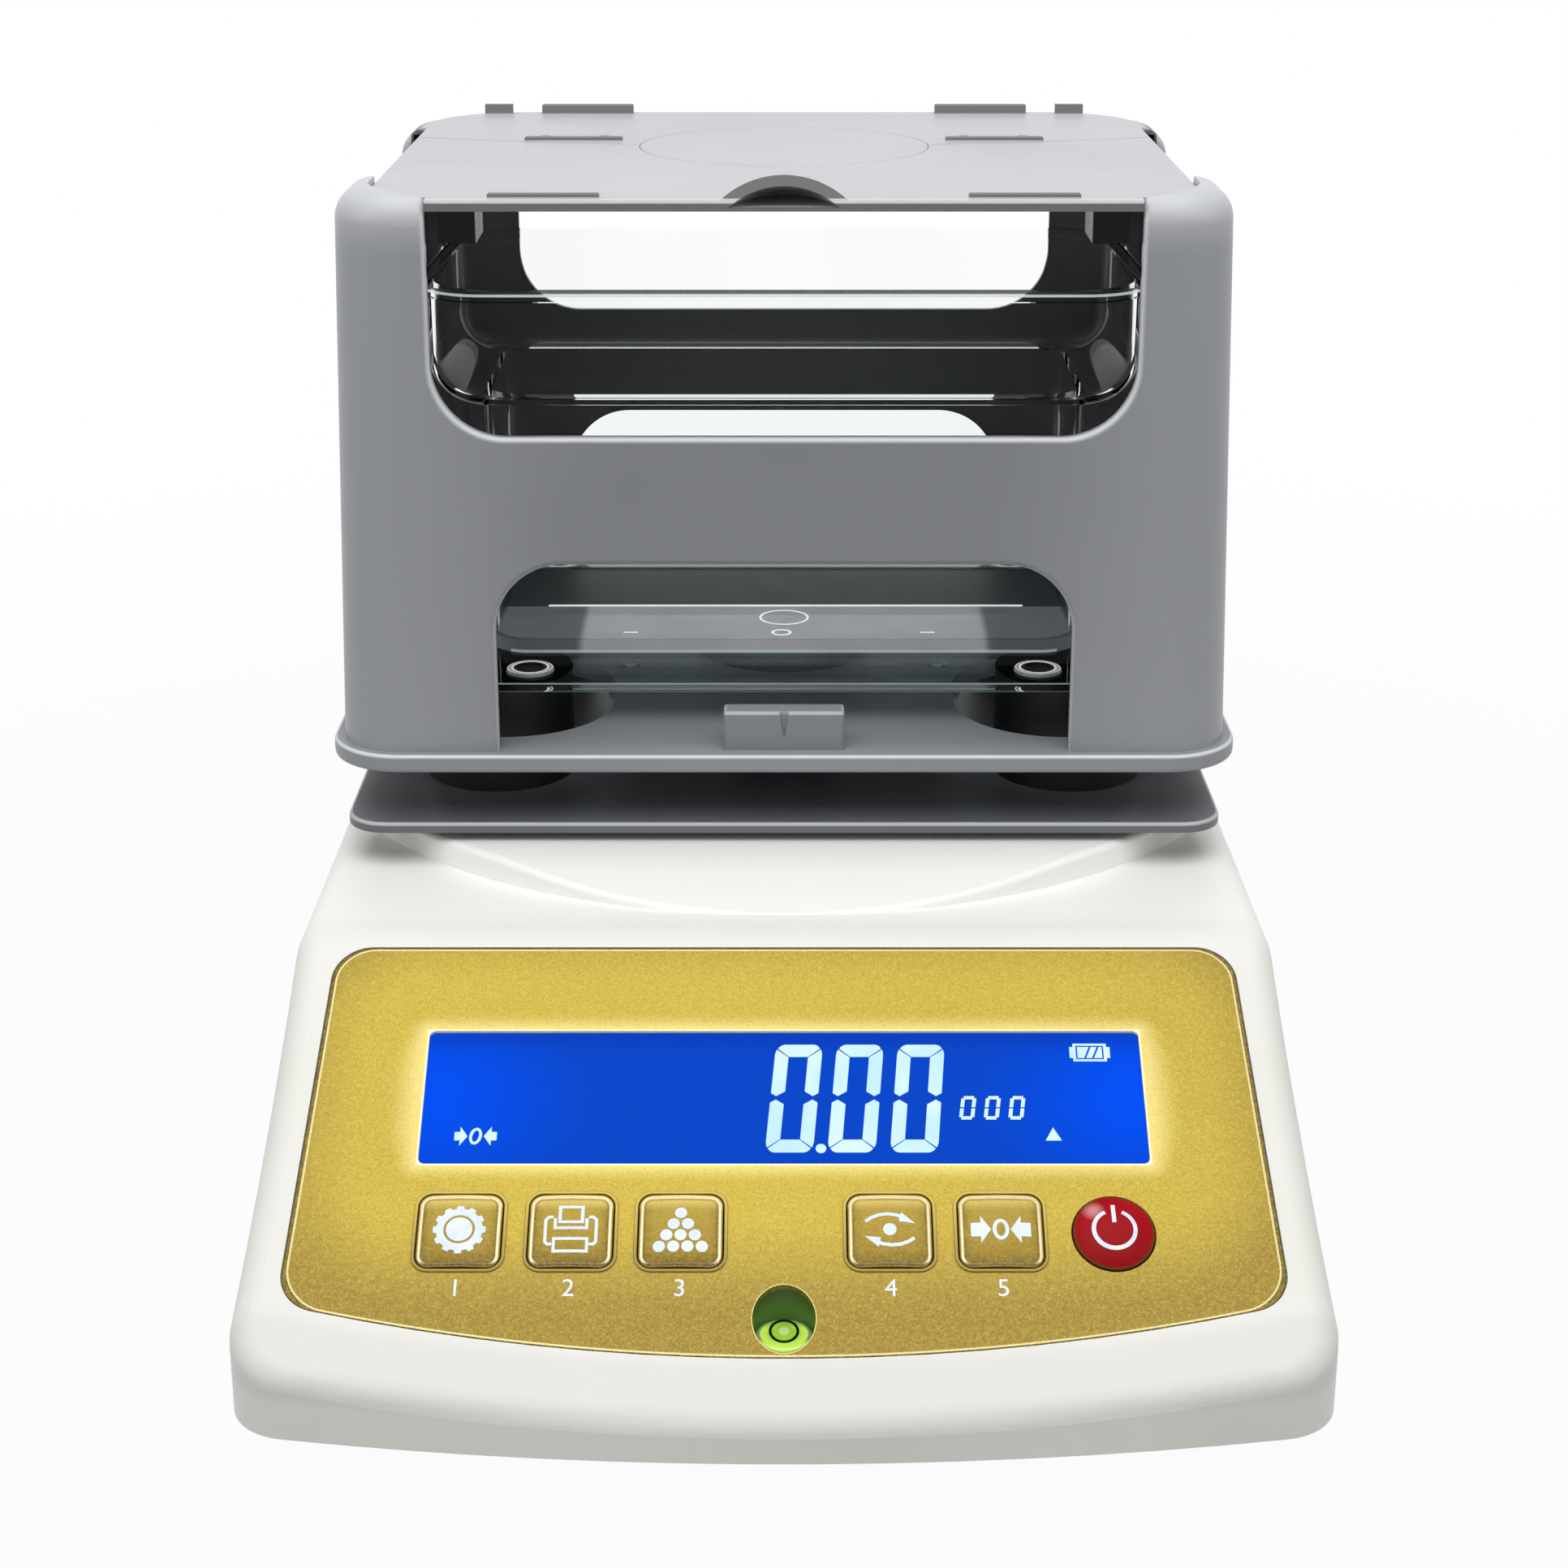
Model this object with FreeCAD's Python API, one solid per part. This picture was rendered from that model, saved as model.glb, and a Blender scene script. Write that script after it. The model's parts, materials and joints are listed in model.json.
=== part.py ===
"""Benchtop density meter: a balance with a tank bench and a weighing tower.

Millimetres, +Z up, the operator stands at -Y.
The origin is on the table, under the middle of the whole instrument.
"""
import FreeCAD, Part
import math
import os

os.makedirs("parts", exist_ok=True)
V = FreeCAD.Vector

# Shared fits
overrun = 2.0
fit_gap = 0.2
slide_gap = 0.3
running_gap = 0.05

# Balance housing
foot_height = 5.0
body_half_width = 102.0
body_flare_radius = 1250.0
body_flare_length = 111.2
front_bow_radius = 560.0
front_corner_radius = 13.0
rear_corner_radius = 15.0
front_wall_height = 8.4
panel_slope = 31.6
panel_length = 109.5
body_wall = 2.8
body_round = 5.5
ridge_round = 12.0
tower_rear_margin = 4.3

# Raised platform under the tank bench: part of a disc, with a ramp at its front
platform_lead = 9.3
platform_overreach = 10.0
platform_inset = 7.0
platform_corner = 8.0
platform_rise = 5.9
platform_ramp = 17.0
platform_ramp_round = 30.0
platform_round = 1.5

# Gold faceplate, measured on the slope from a datum line
datum_rise = 46.0
faceplate_top = 60.0
faceplate_top_half = 92.5
faceplate_low = 32.6
faceplate_low_half = 96.2
faceplate_bow_radius = 416.0
faceplate_corner = 8.0
faceplate_thickness = 0.8
recess_depth = 1.0
faceplate_gap = 0.15

# Display
display_half = 71.9
display_low = 9.0
display_height = 30.6
display_corner = 1.3
display_depth = 1.9
display_lens = 0.8
display_board_margin_x = 5.0
display_board_margin_y = 6.0
board_thickness = 1.6

# Keys
key_width = 16.1
key_height = 15.5
key_corner = 2.5
key_row = -6.0
key_1_left = 62.6
key_2_left = 41.1
key_3_left = 19.9
key_4_right = 20.4
key_5_right = 41.8
key_rise = 0.9
key_crown_radius = 60.0
key_travel = 0.7
key_skirt = 2.0
key_stem_radius = 2.2
key_rim_width = 0.7
key_rim_rise = 0.35
power_place = 63.6
power_row = -6.5
power_radius = 7.9
power_crown_radius = 18.0
power_rise = 0.4
switch_size = 6.0
switch_body = 2.4
plunger_radius = 1.7
plunger_rise = 1.0
switch_slack = 0.1
stem_length = 6.0
key_board_half = 76.0
key_board_height = 20.0

# Bullseye level
level_rise = -24.3
level_bore_radius = 6.0
level_vial_radius = 5.5
level_vial_height = 7.0
level_sink = 3.5
level_cup_wall = 1.6
level_cup_floor = 1.5

# Bottom cover and feet
cover_thickness = 2.2
cover_lift = 0.6
foot_inset_x = 20.0
foot_inset_front = 34.0
foot_inset_rear = 22.0
foot_wheel_radius = 12.0
foot_wheel_height = 2.8
foot_wheel_gap = 0.6
foot_notch_count = 16
foot_notch_radius = 1.2
foot_stud_radius = 3.0
foot_boss_radius = 6.5
foot_boss_height = 12.0
foot_stud_length = 11.0
foot_pad_radius = 9.0
cover_screw_radius = 1.6
cover_screw_head = 3.0
cover_screw_length = 9.0
cover_boss_radius = 4.0
cover_screw_inset = 9.0

# Tank bench
bench_half_width = 96.9
bench_thickness = 2.3
bench_corner = 9.0
bench_overhang = 1.0
bench_hole_radius = 16.0
standoff_height = 2.1
standoff_radius = 6.0
standoff_inset_x = 54.9
standoff_inset_y = 38.85
post_radius = 17.0
post_place_x = 65.5
post_inset_y = 35.5
post_height = 23.4
shelf_thickness = 2.0
shelf_half_width = 84.0
shelf_inset_y = 20.0
shelf_corner = 6.0
shelf_screw_x = 57.7
shelf_screw_inset_y = 29.4
shelf_screw_radius = 5.4
shelf_screw_rise = 0.8
shelf_screw_bore = 3.2
shelf_screw_shank = 2.0
shelf_screw_depth = 8.0

# Water tank
tank_half_width = 80.0
tank_inset_y = 31.0
tank_height = 86.5
tank_wall = 1.6
tank_floor = 3.0
tank_corner = 15.0
tank_step = 11.5
tank_step_land = 0.5
tank_step_height = 60.5
tank_lip = 1.2
tank_lip_height = 2.4

# Weighing carriage
base_thickness = 4.16
base_clearance = 16.3
base_margin = 2.4
base_corner = 16.4
base_slot_half = 23.4
base_slot_inner_x = 39.2
base_slot_front = 9.7
base_slot_length = 56.0
tower_half_width = 94.0
tower_depth = 145.7
tower_setback = 131.2
tower_height = 120.1
tower_draft = 1.8
tower_corner = 14.0
tower_wall = 3.0
tower_rise = 1.4
tower_rear_drop = 0.7
tower_top_round = 7.0
tower_rear_cap = 77.0
tower_edge_round = 1.2
window_low = 70.1
window_half = 74.0
window_round = 15.5
arch_top = 42.3
arch_half = 62.2
arch_round = 15.0
back_window_half = 68.0
back_arch_half = 55.5
back_arch_rise = 1.3
side_window_inset = 25.0

# Pointer block on the carriage base
pointer_width = 26.4
pointer_height = 8.8
pointer_depth = 6.0
pointer_setback = 1.2
pointer_notch_half = 1.3
pointer_notch_depth = 6.0
pointer_notch_cut = 0.6
pointer_round = 0.8

# Lids and round air pan
lid_half_width = 86.9
lid_thickness = 2.4
lid_front_corner = 12.5
lid_rear_corner = 22.0
lid_seam_gap = 0.4
lid_seam_radius = 259.0
pan_radius = 33.4
pan_setback = 82.4
pan_thickness = 1.3
pan_ledge = 2.9
rail_inner = 38.0
rail_outer = 61.0
rail_width = 2.0
rail_height = 1.0
rail_front_inset = 3.0
rail_middle_gap = 4.0
rail_dot_radius = 1.1
rail_dot_height = 0.5
rail_dot_back = 5.0
rail_dot_in = 7.0
tab_height = 2.5
tab_inset = 4.0
small_tab_inner = 68.4
small_tab_outer = 75.4
hood_width = 26.5
hood_height = 5.1
hood_depth = 18.0
hood_wall = 2.2
hood_floor = 0.8
bracket_inner_x = 63.7
bracket_depth = 15.0
bracket_height = 7.0
bracket_rib = 2.5
stay_radius = 1.0
stay_drop = 12.0

# Load cell, carrier and hub
cell_width = 30.0
cell_end_gap = 7.85
cell_height = 22.0
cell_lift = 8.0
cell_block_length = 30.0
cell_hole_radius = 8.5
cell_hole_spacing = 30.0
cell_slot_height = 3.0
cell_screw_head = 5.0
cell_screw_head_height = 2.5
cell_screw_spacing = 15.0
carrier_spacer = 3.0
carrier_plate = 3.0
carrier_width = 30.0
hub_radius = 11.0
hub_flange_radius = 20.0
hub_flange_height = 5.0
hub_cap_radius = 20.5
hub_cap_height = 4.6
hub_cap_round = 1.5
hub_screw_radius = 2.3
hub_screw_height = 0.8
base_screw_x = 36.8
base_screw_offset = 14.2
base_screw_radius = 2.6
base_screw_height = 0.7
arm_width = 10.0
arm_thickness = 3.0

# Electronics
main_board_half = 60.0
main_board_depth = 58.0
main_board_front = 62.0
main_board_lift = 5.0
board_post_radius = 2.5
board_post_inset = 5.0
chip_sizes = ((22.0, 22.0, 2.0), (16.0, 10.0, 9.0), (10.0, 10.0, 12.0), (34.0, 8.0, 7.0))
chip_share_places = ((-0.1, 0.15), (0.6, 0.5), (-0.65, -0.4), (0.2, -0.62))
battery_side_gap = 27.2
battery_cell_gap = 9.0
battery_length = 70.0
battery_height = 40.0
battery_rear_gap = 38.4
battery_terminal = 5.0
battery_terminal_height = 3.0

# Rear sockets
socket_height = 24.0
inlet_x = 58.0
inlet_radius = 5.6
inlet_bore = 3.2
inlet_pin = 1.0
inlet_length = 12.0
inlet_flange = 7.5
inlet_proud = 1.0
port_x = -52.0
port_width = 31.0
port_height = 12.5
port_length = 10.0
port_proud = 1.0
port_shell_width = 17.0
port_shell_height = 8.4
port_shell_depth = 5.0
port_shell_wall = 0.8
port_round = 1.5

# How steep counts as upright, as lying or as a bend, used to find edges
upright_share = 0.99
wall_tilt_share = 0.05
roof_tilt_share = 0.3
bend_share = 0.7

# Worked out from the sizes above
rear_reach = port_proud + port_shell_depth
body_depth = tower_setback + tower_depth + tower_rear_margin
front_y = -(body_depth + rear_reach) / 2
rear_y = front_y + body_depth
body_z = foot_height
slope = math.radians(panel_slope)
ridge_y = front_y + panel_length * math.cos(slope)
ridge_z = body_z + front_wall_height + panel_length * math.sin(slope)
platform_radius = body_half_width + platform_overreach
platform_y = ridge_y + platform_lead + platform_radius
platform_z = ridge_z + platform_rise
datum_y = front_y + datum_rise * math.cos(slope)
datum_z = body_z + front_wall_height + datum_rise * math.sin(slope)
flare_y = front_y + body_flare_length
tower_y = front_y + tower_setback
tower_back = tower_y + tower_depth
middle_y = tower_y + tower_depth / 2
bench_low_z = platform_z + standoff_height
bench_top_z = bench_low_z + bench_thickness
base_top_z = bench_top_z + base_clearance
base_low_z = base_top_z - base_thickness
shelf_low_z = bench_top_z + post_height
shelf_top_z = shelf_low_z + shelf_thickness
tank_top_z = shelf_top_z + tank_height
lid_top_z = base_top_z + tower_height
lid_low_z = lid_top_z - lid_thickness
tower_top_z = lid_top_z + tower_rise
tower_rear_z = lid_top_z - tower_rear_drop
cover_low_z = body_z + cover_lift
cover_top_z = cover_low_z + cover_thickness
cell_low_z = cover_top_z + cell_lift
cell_top_z = cell_low_z + cell_height
carrier_low_z = cell_top_z + carrier_spacer
carrier_top_z = carrier_low_z + carrier_plate
cell_length = tower_depth - 2 * cell_end_gap
pan_y = tower_y + pan_setback
key_places = (-key_1_left, -key_2_left, -key_3_left, key_4_right, key_5_right)


def box(x0, x1, y0, y1, z0, z1):
    return Part.makeBox(x1 - x0, y1 - y0, z1 - z0, V(x0, y0, z0))


def rod(radius, x, y, z0, z1):
    return Part.makeCylinder(radius, z1 - z0, V(x, y, z0), V(0, 0, 1))


def group(shapes):
    return Part.makeCompound(shapes)


def vertical_edges(shape):
    return [e for e in shape.Edges
            if abs(e.tangentAt(e.FirstParameter).z) > upright_share
            and abs(e.tangentAt(e.LastParameter).z) > upright_share]


def along(edge):
    return edge.CenterOfMass.y


def rounded_wire(x0, x1, y0, y1, z, radius):
    """A rectangle with round corners, as lines and arcs."""
    r = radius
    k = r * (1 - math.sqrt(0.5))
    edges = [
        Part.LineSegment(V(x0 + r, y0, z), V(x1 - r, y0, z)),
        Part.Arc(V(x1 - r, y0, z), V(x1 - k, y0 + k, z), V(x1, y0 + r, z)),
        Part.LineSegment(V(x1, y0 + r, z), V(x1, y1 - r, z)),
        Part.Arc(V(x1, y1 - r, z), V(x1 - k, y1 - k, z), V(x1 - r, y1, z)),
        Part.LineSegment(V(x1 - r, y1, z), V(x0 + r, y1, z)),
        Part.Arc(V(x0 + r, y1, z), V(x0 + k, y1 - k, z), V(x0, y1 - r, z)),
        Part.LineSegment(V(x0, y1 - r, z), V(x0, y0 + r, z)),
        Part.Arc(V(x0, y0 + r, z), V(x0 + k, y0 + k, z), V(x0 + r, y0, z)),
    ]
    return Part.Wire([e.toShape() for e in edges])


def slab(x0, x1, y0, y1, z0, z1, radius):
    """A plate with round corners in plan."""
    return Part.Face(rounded_wire(x0, x1, y0, y1, z0, radius)).extrude(V(0, 0, z1 - z0))


def stood_up(shape):
    """Turn a plan shape so that its Y becomes Z and its thickness runs along -Y."""
    shape.rotate(V(0, 0, 0), V(1, 0, 0), 90)
    return shape


def wall_cut(half, z0, z1, y0, y1, radius):
    """A round-cornered window that runs through a wall along Y."""
    plan = slab(-half, half, z0, z1, 0, y1 - y0, radius)
    plan = stood_up(plan)
    plan.translate(V(0, y1, 0))
    return plan


def side_cut(y0, y1, z0, z1, half, radius):
    """A round-cornered window that runs through both side walls along X."""
    plan = slab(y0, y1, z0, z1, -half, half, radius)
    plan.rotate(V(0, 0, 0), V(1, 0, 0), 90)
    plan.rotate(V(0, 0, 0), V(0, 0, 1), 90)
    return plan


def on_panel(shape):
    """Lay a shape on the sloping panel: X across, Y up the slope, Z out of it."""
    shape.rotate(V(0, 0, 0), V(1, 0, 0), panel_slope)
    shape.translate(V(0, datum_y, datum_z))
    return shape


# Balance housing

def body_half_at(y):
    """Half the housing's width at a place along its depth."""
    run = max(flare_y - y, 0)
    return body_half_width + body_flare_radius - math.sqrt(body_flare_radius ** 2 - run ** 2)


def body_plan(inset):
    """Plan outline: bowed front, sides that flare forward, round corners."""
    half = body_half_width - inset
    rear = rear_y - inset
    flare_r = body_flare_radius + inset
    bow_r = front_bow_radius - inset
    bow_centre = front_y + front_bow_radius
    flare_centre = half + flare_r

    def bow_y(x):
        return bow_centre - math.sqrt(bow_r ** 2 - x ** 2)

    def flare_x(y):
        return flare_centre - math.sqrt(flare_r ** 2 - (flare_y - y) ** 2)

    corner_y = bow_y(half)
    for _ in range(6):
        corner_x = flare_x(corner_y)
        corner_y = bow_y(corner_x)
    mid_y = (flare_y + corner_y) / 2
    mid_x = flare_x(mid_y)
    edges = [
        Part.Arc(V(-corner_x, corner_y, 0), V(0, front_y + inset, 0), V(corner_x, corner_y, 0)),
        Part.Arc(V(corner_x, corner_y, 0), V(mid_x, mid_y, 0), V(half, flare_y, 0)),
        Part.LineSegment(V(half, flare_y, 0), V(half, rear, 0)),
        Part.LineSegment(V(half, rear, 0), V(-half, rear, 0)),
        Part.LineSegment(V(-half, rear, 0), V(-half, flare_y, 0)),
        Part.Arc(V(-half, flare_y, 0), V(-mid_x, mid_y, 0), V(-corner_x, corner_y, 0)),
    ]
    return Part.Face(Part.Wire([e.toShape() for e in edges]))


def body_column(inset, z0, z1):
    solid = body_plan(inset).extrude(V(0, 0, z1 - z0))
    solid.translate(V(0, 0, z0))
    front = sorted(vertical_edges(solid), key=along)[:2]
    solid = solid.makeFillet(front_corner_radius - inset, front)
    rear = sorted(vertical_edges(solid), key=along)[-2:]
    return solid.makeFillet(rear_corner_radius - inset, rear)


def cross_edge(shape, y, z):
    """The edge that runs across the whole width at a given place."""
    return [e for e in shape.Edges
            if e.BoundBox.XLength > body_half_width
            and math.hypot(e.CenterOfMass.y - y, e.CenterOfMass.z - z) < fit_gap]


def body_side(inset, low_z):
    """Side outline: front wall, sloping panel, ridge and flat deck."""
    reach = body_half_width + front_corner_radius + overrun
    drop = inset / math.cos(slope)
    y0 = front_y - overrun
    z0 = body_z + front_wall_height - drop - overrun * math.tan(slope)
    ridge_top = ridge_z - inset
    ridge_front = ridge_y + (drop - inset) / math.tan(slope)
    points = [
        V(-reach, y0, low_z), V(-reach, y0, z0), V(-reach, ridge_front, ridge_top),
        V(-reach, rear_y + overrun, ridge_top), V(-reach, rear_y + overrun, low_z),
    ]
    face = Part.Face(Part.makePolygon(points + points[:1]))
    side = face.extrude(V(2 * reach, 0, 0))
    return side.makeFillet(ridge_round - inset, cross_edge(side, ridge_front, ridge_top))


def top_rim_edges(shape, low_z):
    """The edges where the top surfaces meet the upright walls."""
    rims = []
    for edge in shape.Edges:
        if edge.BoundBox.ZMin < low_z:
            continue
        faces = shape.ancestorsOfType(edge, Part.Face)
        tilts = [abs(f.normalAt(*f.Surface.parameter(edge.CenterOfMass)).z) for f in faces]
        if min(tilts) < wall_tilt_share and max(tilts) > roof_tilt_share:
            rims.append(edge)
    return rims


def body_form(inset, low_z):
    """The housing's solid form, or its hollow when inset by the wall."""
    form = body_column(inset, low_z, ridge_z + overrun).common(body_side(inset, low_z - overrun))
    form = form.Solids[0]
    rims = top_rim_edges(form, body_z + front_wall_height - 2 * inset)
    return form.makeFillet(body_round - inset, rims)


def platform_side(inset, low_z):
    """Side outline of the platform: a ramp that rises from the deck, then flat."""
    lean = math.radians(platform_ramp)
    drop = inset / math.cos(lean)
    start = platform_y - platform_radius
    ramp_top = start + (platform_rise + drop - inset) / math.tan(lean)
    top = platform_z - inset
    reach = platform_radius + overrun
    points = [
        V(-reach, start - overrun, low_z),
        V(-reach, start - overrun, ridge_z - drop - overrun * math.tan(lean)),
        V(-reach, ramp_top, top), V(-reach, rear_y, top), V(-reach, rear_y, low_z),
    ]
    side = Part.Face(Part.makePolygon(points + points[:1])).extrude(V(2 * reach, 0, 0))
    return side.makeFillet(platform_ramp_round - inset, cross_edge(side, ramp_top, top))


def platform_form(inset):
    """A disc cut to the housing's width and depth, with the ramp at its front."""
    low_z = ridge_z - 2 * body_wall
    high_z = platform_z + overrun
    half = body_half_width - platform_inset - inset
    disc = rod(platform_radius - inset, 0, platform_y, low_z, high_z)
    form = disc.common(slab(-half, half, platform_y - platform_radius,
                            rear_y - platform_inset - inset, low_z, high_z, platform_corner - inset))
    ends = [e for e in vertical_edges(form) if abs(e.CenterOfMass.x) > half - fit_gap]
    form = form.makeFillet(platform_corner - inset, sorted(ends, key=along)[:2])
    return form.common(platform_side(inset, low_z - overrun)).Solids[0]


def body_hull():
    platform = platform_form(0)
    rims = top_rim_edges(platform, ridge_z - body_wall)
    platform = platform.makeFillet(platform_round, rims)
    return body_form(0, body_z).fuse(platform).removeSplitter()


def faceplate_blank(gap, n0, n1):
    """The faceplate's outline on the slope, grown by a gap."""
    top = faceplate_top + gap
    bow_r = faceplate_bow_radius + gap
    bow_centre = faceplate_bow_radius - faceplate_low
    lean = (faceplate_low_half - faceplate_top_half) / (faceplate_top + faceplate_low)
    low_x = faceplate_low_half + gap
    low_y = bow_centre - math.sqrt(bow_r ** 2 - low_x ** 2)
    top_x = low_x - lean * (top - low_y)
    edges = [
        Part.Arc(V(-low_x, low_y, n0), V(0, bow_centre - bow_r, n0), V(low_x, low_y, n0)),
        Part.LineSegment(V(low_x, low_y, n0), V(top_x, top, n0)),
        Part.LineSegment(V(top_x, top, n0), V(-top_x, top, n0)),
        Part.LineSegment(V(-top_x, top, n0), V(-low_x, low_y, n0)),
    ]
    blank = Part.Face(Part.Wire([e.toShape() for e in edges])).extrude(V(0, 0, n1 - n0))
    return blank.makeFillet(faceplate_corner + gap, vertical_edges(blank))


def display_blank(gap, n0, n1):
    return slab(-display_half - gap, display_half + gap, display_low - gap,
                display_low + display_height + gap, n0, n1, display_corner + gap)


def key_blank(x, gap, n0, n1):
    return slab(x - key_width / 2 - gap, x + key_width / 2 + gap,
                key_row - key_height / 2 - gap, key_row + key_height / 2 + gap,
                n0, n1, key_corner + gap)


def level_y():
    return datum_y + level_rise * math.cos(slope)


def level_z():
    return datum_z + level_rise * math.sin(slope)


def level_bore(radius, z0):
    return rod(radius, 0, level_y(), z0, ridge_z)


def cover_screw_places():
    x = body_half_width - body_wall - cover_screw_inset
    return [(sx * x, y) for sx in (-1, 1) for y in (front_y + 3 * cover_screw_inset, 0,
                                                    rear_y - 4 * cover_screw_inset)]


def body_shell():
    hull = body_hull()
    cavity = body_form(body_wall, body_z - overrun).fuse(platform_form(body_wall))
    shell = hull.cut(cavity)
    shell = shell.cut(on_panel(faceplate_blank(faceplate_gap, -recess_depth, overrun)))
    deep = -body_wall - overrun
    shell = shell.cut(on_panel(display_blank(slide_gap, deep, overrun)))
    for x in key_places:
        shell = shell.cut(on_panel(key_blank(x, slide_gap, deep, overrun)))
    shell = shell.cut(on_panel(rod(power_radius + slide_gap, power_place, power_row, deep, overrun)))
    sleeve = rod(level_bore_radius + level_cup_wall, 0, level_y(),
                 level_z() - level_sink - level_vial_height, ridge_z)
    floor_n = -recess_depth
    sleeve = sleeve.cut(on_panel(box(-display_half, display_half, -datum_rise, faceplate_top,
                                     floor_n, 4 * ridge_z)))
    shell = shell.fuse(sleeve).cut(level_bore(level_bore_radius, body_z))
    shell = shell.cut(rod(bench_hole_radius, 0, middle_y, ridge_z - 2 * body_wall,
                          platform_z + overrun))
    for x, y in cover_screw_places():
        boss = rod(cover_boss_radius, x, y, cover_top_z, body_z + front_wall_height)
        x0, x1 = sorted((x, math.copysign(body_half_at(y) - body_wall / 2, x)))
        rib = box(x0, x1, y - body_wall / 2, y + body_wall / 2, cover_top_z,
                  body_z + front_wall_height)
        shell = shell.fuse(boss.fuse(rib))
        shell = shell.cut(rod(cover_screw_radius, x, y, cover_low_z, cover_low_z + cover_screw_length))
    z = body_z + socket_height
    inlet = Part.makeCylinder(inlet_radius + fit_gap, 2 * body_wall,
                              V(inlet_x, rear_y - 1.5 * body_wall, z), V(0, 1, 0))
    port = box(port_x - port_width / 2 - fit_gap, port_x + port_width / 2 + fit_gap,
               rear_y - 1.5 * body_wall, rear_y + overrun,
               z - port_height / 2 - fit_gap, z + port_height / 2 + fit_gap)
    return shell.cut(inlet).cut(port).removeSplitter()


def foot_places():
    x = body_half_width - foot_inset_x
    return [(sx * x, y) for y in (front_y + foot_inset_front, rear_y - foot_inset_rear)
            for sx in (-1, 1)]


def bottom_cover():
    cover = body_column(body_wall + fit_gap, cover_low_z, cover_top_z)
    for x, y in foot_places():
        cover = cover.fuse(rod(foot_boss_radius, x, y, cover_low_z, cover_low_z + foot_boss_height))
    for x, y in foot_places():
        cover = cover.cut(rod(foot_stud_radius + running_gap, x, y, body_z - overrun,
                              cover_low_z + foot_boss_height + overrun))
    for x, y in cover_screw_places():
        cover = cover.cut(rod(cover_screw_radius + fit_gap, x, y, body_z, cover_top_z + overrun))
        cover = cover.cut(rod(cover_screw_head + fit_gap, x, y, body_z,
                              cover_low_z + cover_thickness / 2))
    for x, y in board_post_places():
        cover = cover.fuse(rod(board_post_radius, x, y, cover_top_z, cover_top_z + main_board_lift))
    return cover.removeSplitter()


def cover_screws():
    screws = []
    for x, y in cover_screw_places():
        seat = cover_low_z + cover_thickness / 2
        head = rod(cover_screw_head, x, y, cover_low_z, seat)
        shank = rod(cover_screw_radius, x, y, seat, cover_low_z + cover_screw_length)
        screws.append(head.fuse(shank).removeSplitter())
    return group(screws)


# Faceplate, display and keys

def face_overlay():
    top = faceplate_thickness - recess_depth
    plate = faceplate_blank(0, -recess_depth, top)
    rims = [e for e in plate.Edges if e.BoundBox.ZMin > top - running_gap]
    plate = plate.makeFillet(faceplate_thickness / 3, rims)
    plate = plate.cut(display_blank(fit_gap / 2, -recess_depth - overrun, overrun))
    for x in key_places:
        plate = plate.cut(key_blank(x, slide_gap + key_rim_width, -recess_depth - overrun, overrun))
    plate = plate.cut(rod(power_radius + slide_gap, power_place, power_row,
                          -recess_depth - overrun, overrun))
    return on_panel(plate).cut(level_bore(level_bore_radius, body_z))


def display_lens_plate():
    return on_panel(display_blank(0, -recess_depth, display_lens - recess_depth))


def display_glass():
    top = -recess_depth - fit_gap / 4
    return on_panel(display_blank(0, top - display_depth, top))


def display_board_low():
    return -recess_depth - fit_gap / 4 - display_depth - board_thickness


def display_board():
    low = display_board_low()
    return on_panel(slab(-display_half - display_board_margin_x, display_half + display_board_margin_x,
                         display_low - slide_gap - display_board_margin_y / 2,
                         display_low + display_height + display_board_margin_y,
                         low, low + board_thickness, display_corner))


def key_rims():
    """Thin bright frames round the five square keys, seated in the faceplate."""
    top = faceplate_thickness - recess_depth + key_rim_rise
    rims = []
    for x in key_places:
        ring = key_blank(x, slide_gap + key_rim_width, -recess_depth, top)
        ring = ring.cut(key_blank(x, slide_gap, -recess_depth - overrun, top + overrun))
        upper = [e for e in ring.Edges if e.BoundBox.ZMin > top - running_gap
                 and e.BoundBox.ZMax < top + running_gap]
        rims.append(on_panel(ring.makeFillet(key_rim_width / 4, upper)))
    return group(rims)


def crowned(blank, x, y, top, crown_radius):
    """Trim a key's top to part of a large ball, so that it swells in the middle."""
    ball = Part.makeSphere(crown_radius, V(x, y, top - crown_radius))
    return blank.common(ball)


def square_key(x):
    face_n = faceplate_thickness - recess_depth
    top = face_n + key_rise
    cap = key_blank(x, 0, face_n - key_skirt, top)
    cap = crowned(cap, x, key_row, top, key_crown_radius)
    stem = rod(key_stem_radius, x, key_row, -recess_depth - stem_length, face_n - key_skirt / 2)
    return on_panel(cap.fuse(stem).removeSplitter())


def power_button():
    face_n = faceplate_thickness - recess_depth
    reach = power_crown_radius - math.sqrt(power_crown_radius ** 2 - power_radius ** 2)
    top = face_n + power_rise + reach
    cap = rod(power_radius, power_place, power_row, face_n - key_skirt, top)
    cap = crowned(cap, power_place, power_row, top, power_crown_radius)
    stem = rod(key_stem_radius, power_place, power_row, -recess_depth - stem_length,
               face_n - key_skirt / 2)
    return on_panel(cap.fuse(stem).removeSplitter())


def switch_top():
    return -recess_depth - stem_length - key_travel - switch_slack


def key_board_top():
    return switch_top() - plunger_rise - switch_body


def key_switch_places():
    return [(x, key_row) for x in key_places] + [(power_place, power_row)]


def key_board():
    top = key_board_top()
    return on_panel(slab(-key_board_half, key_board_half, key_row - key_board_height / 2,
                         key_row + key_board_height / 2, top - board_thickness, top, key_corner))


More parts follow.
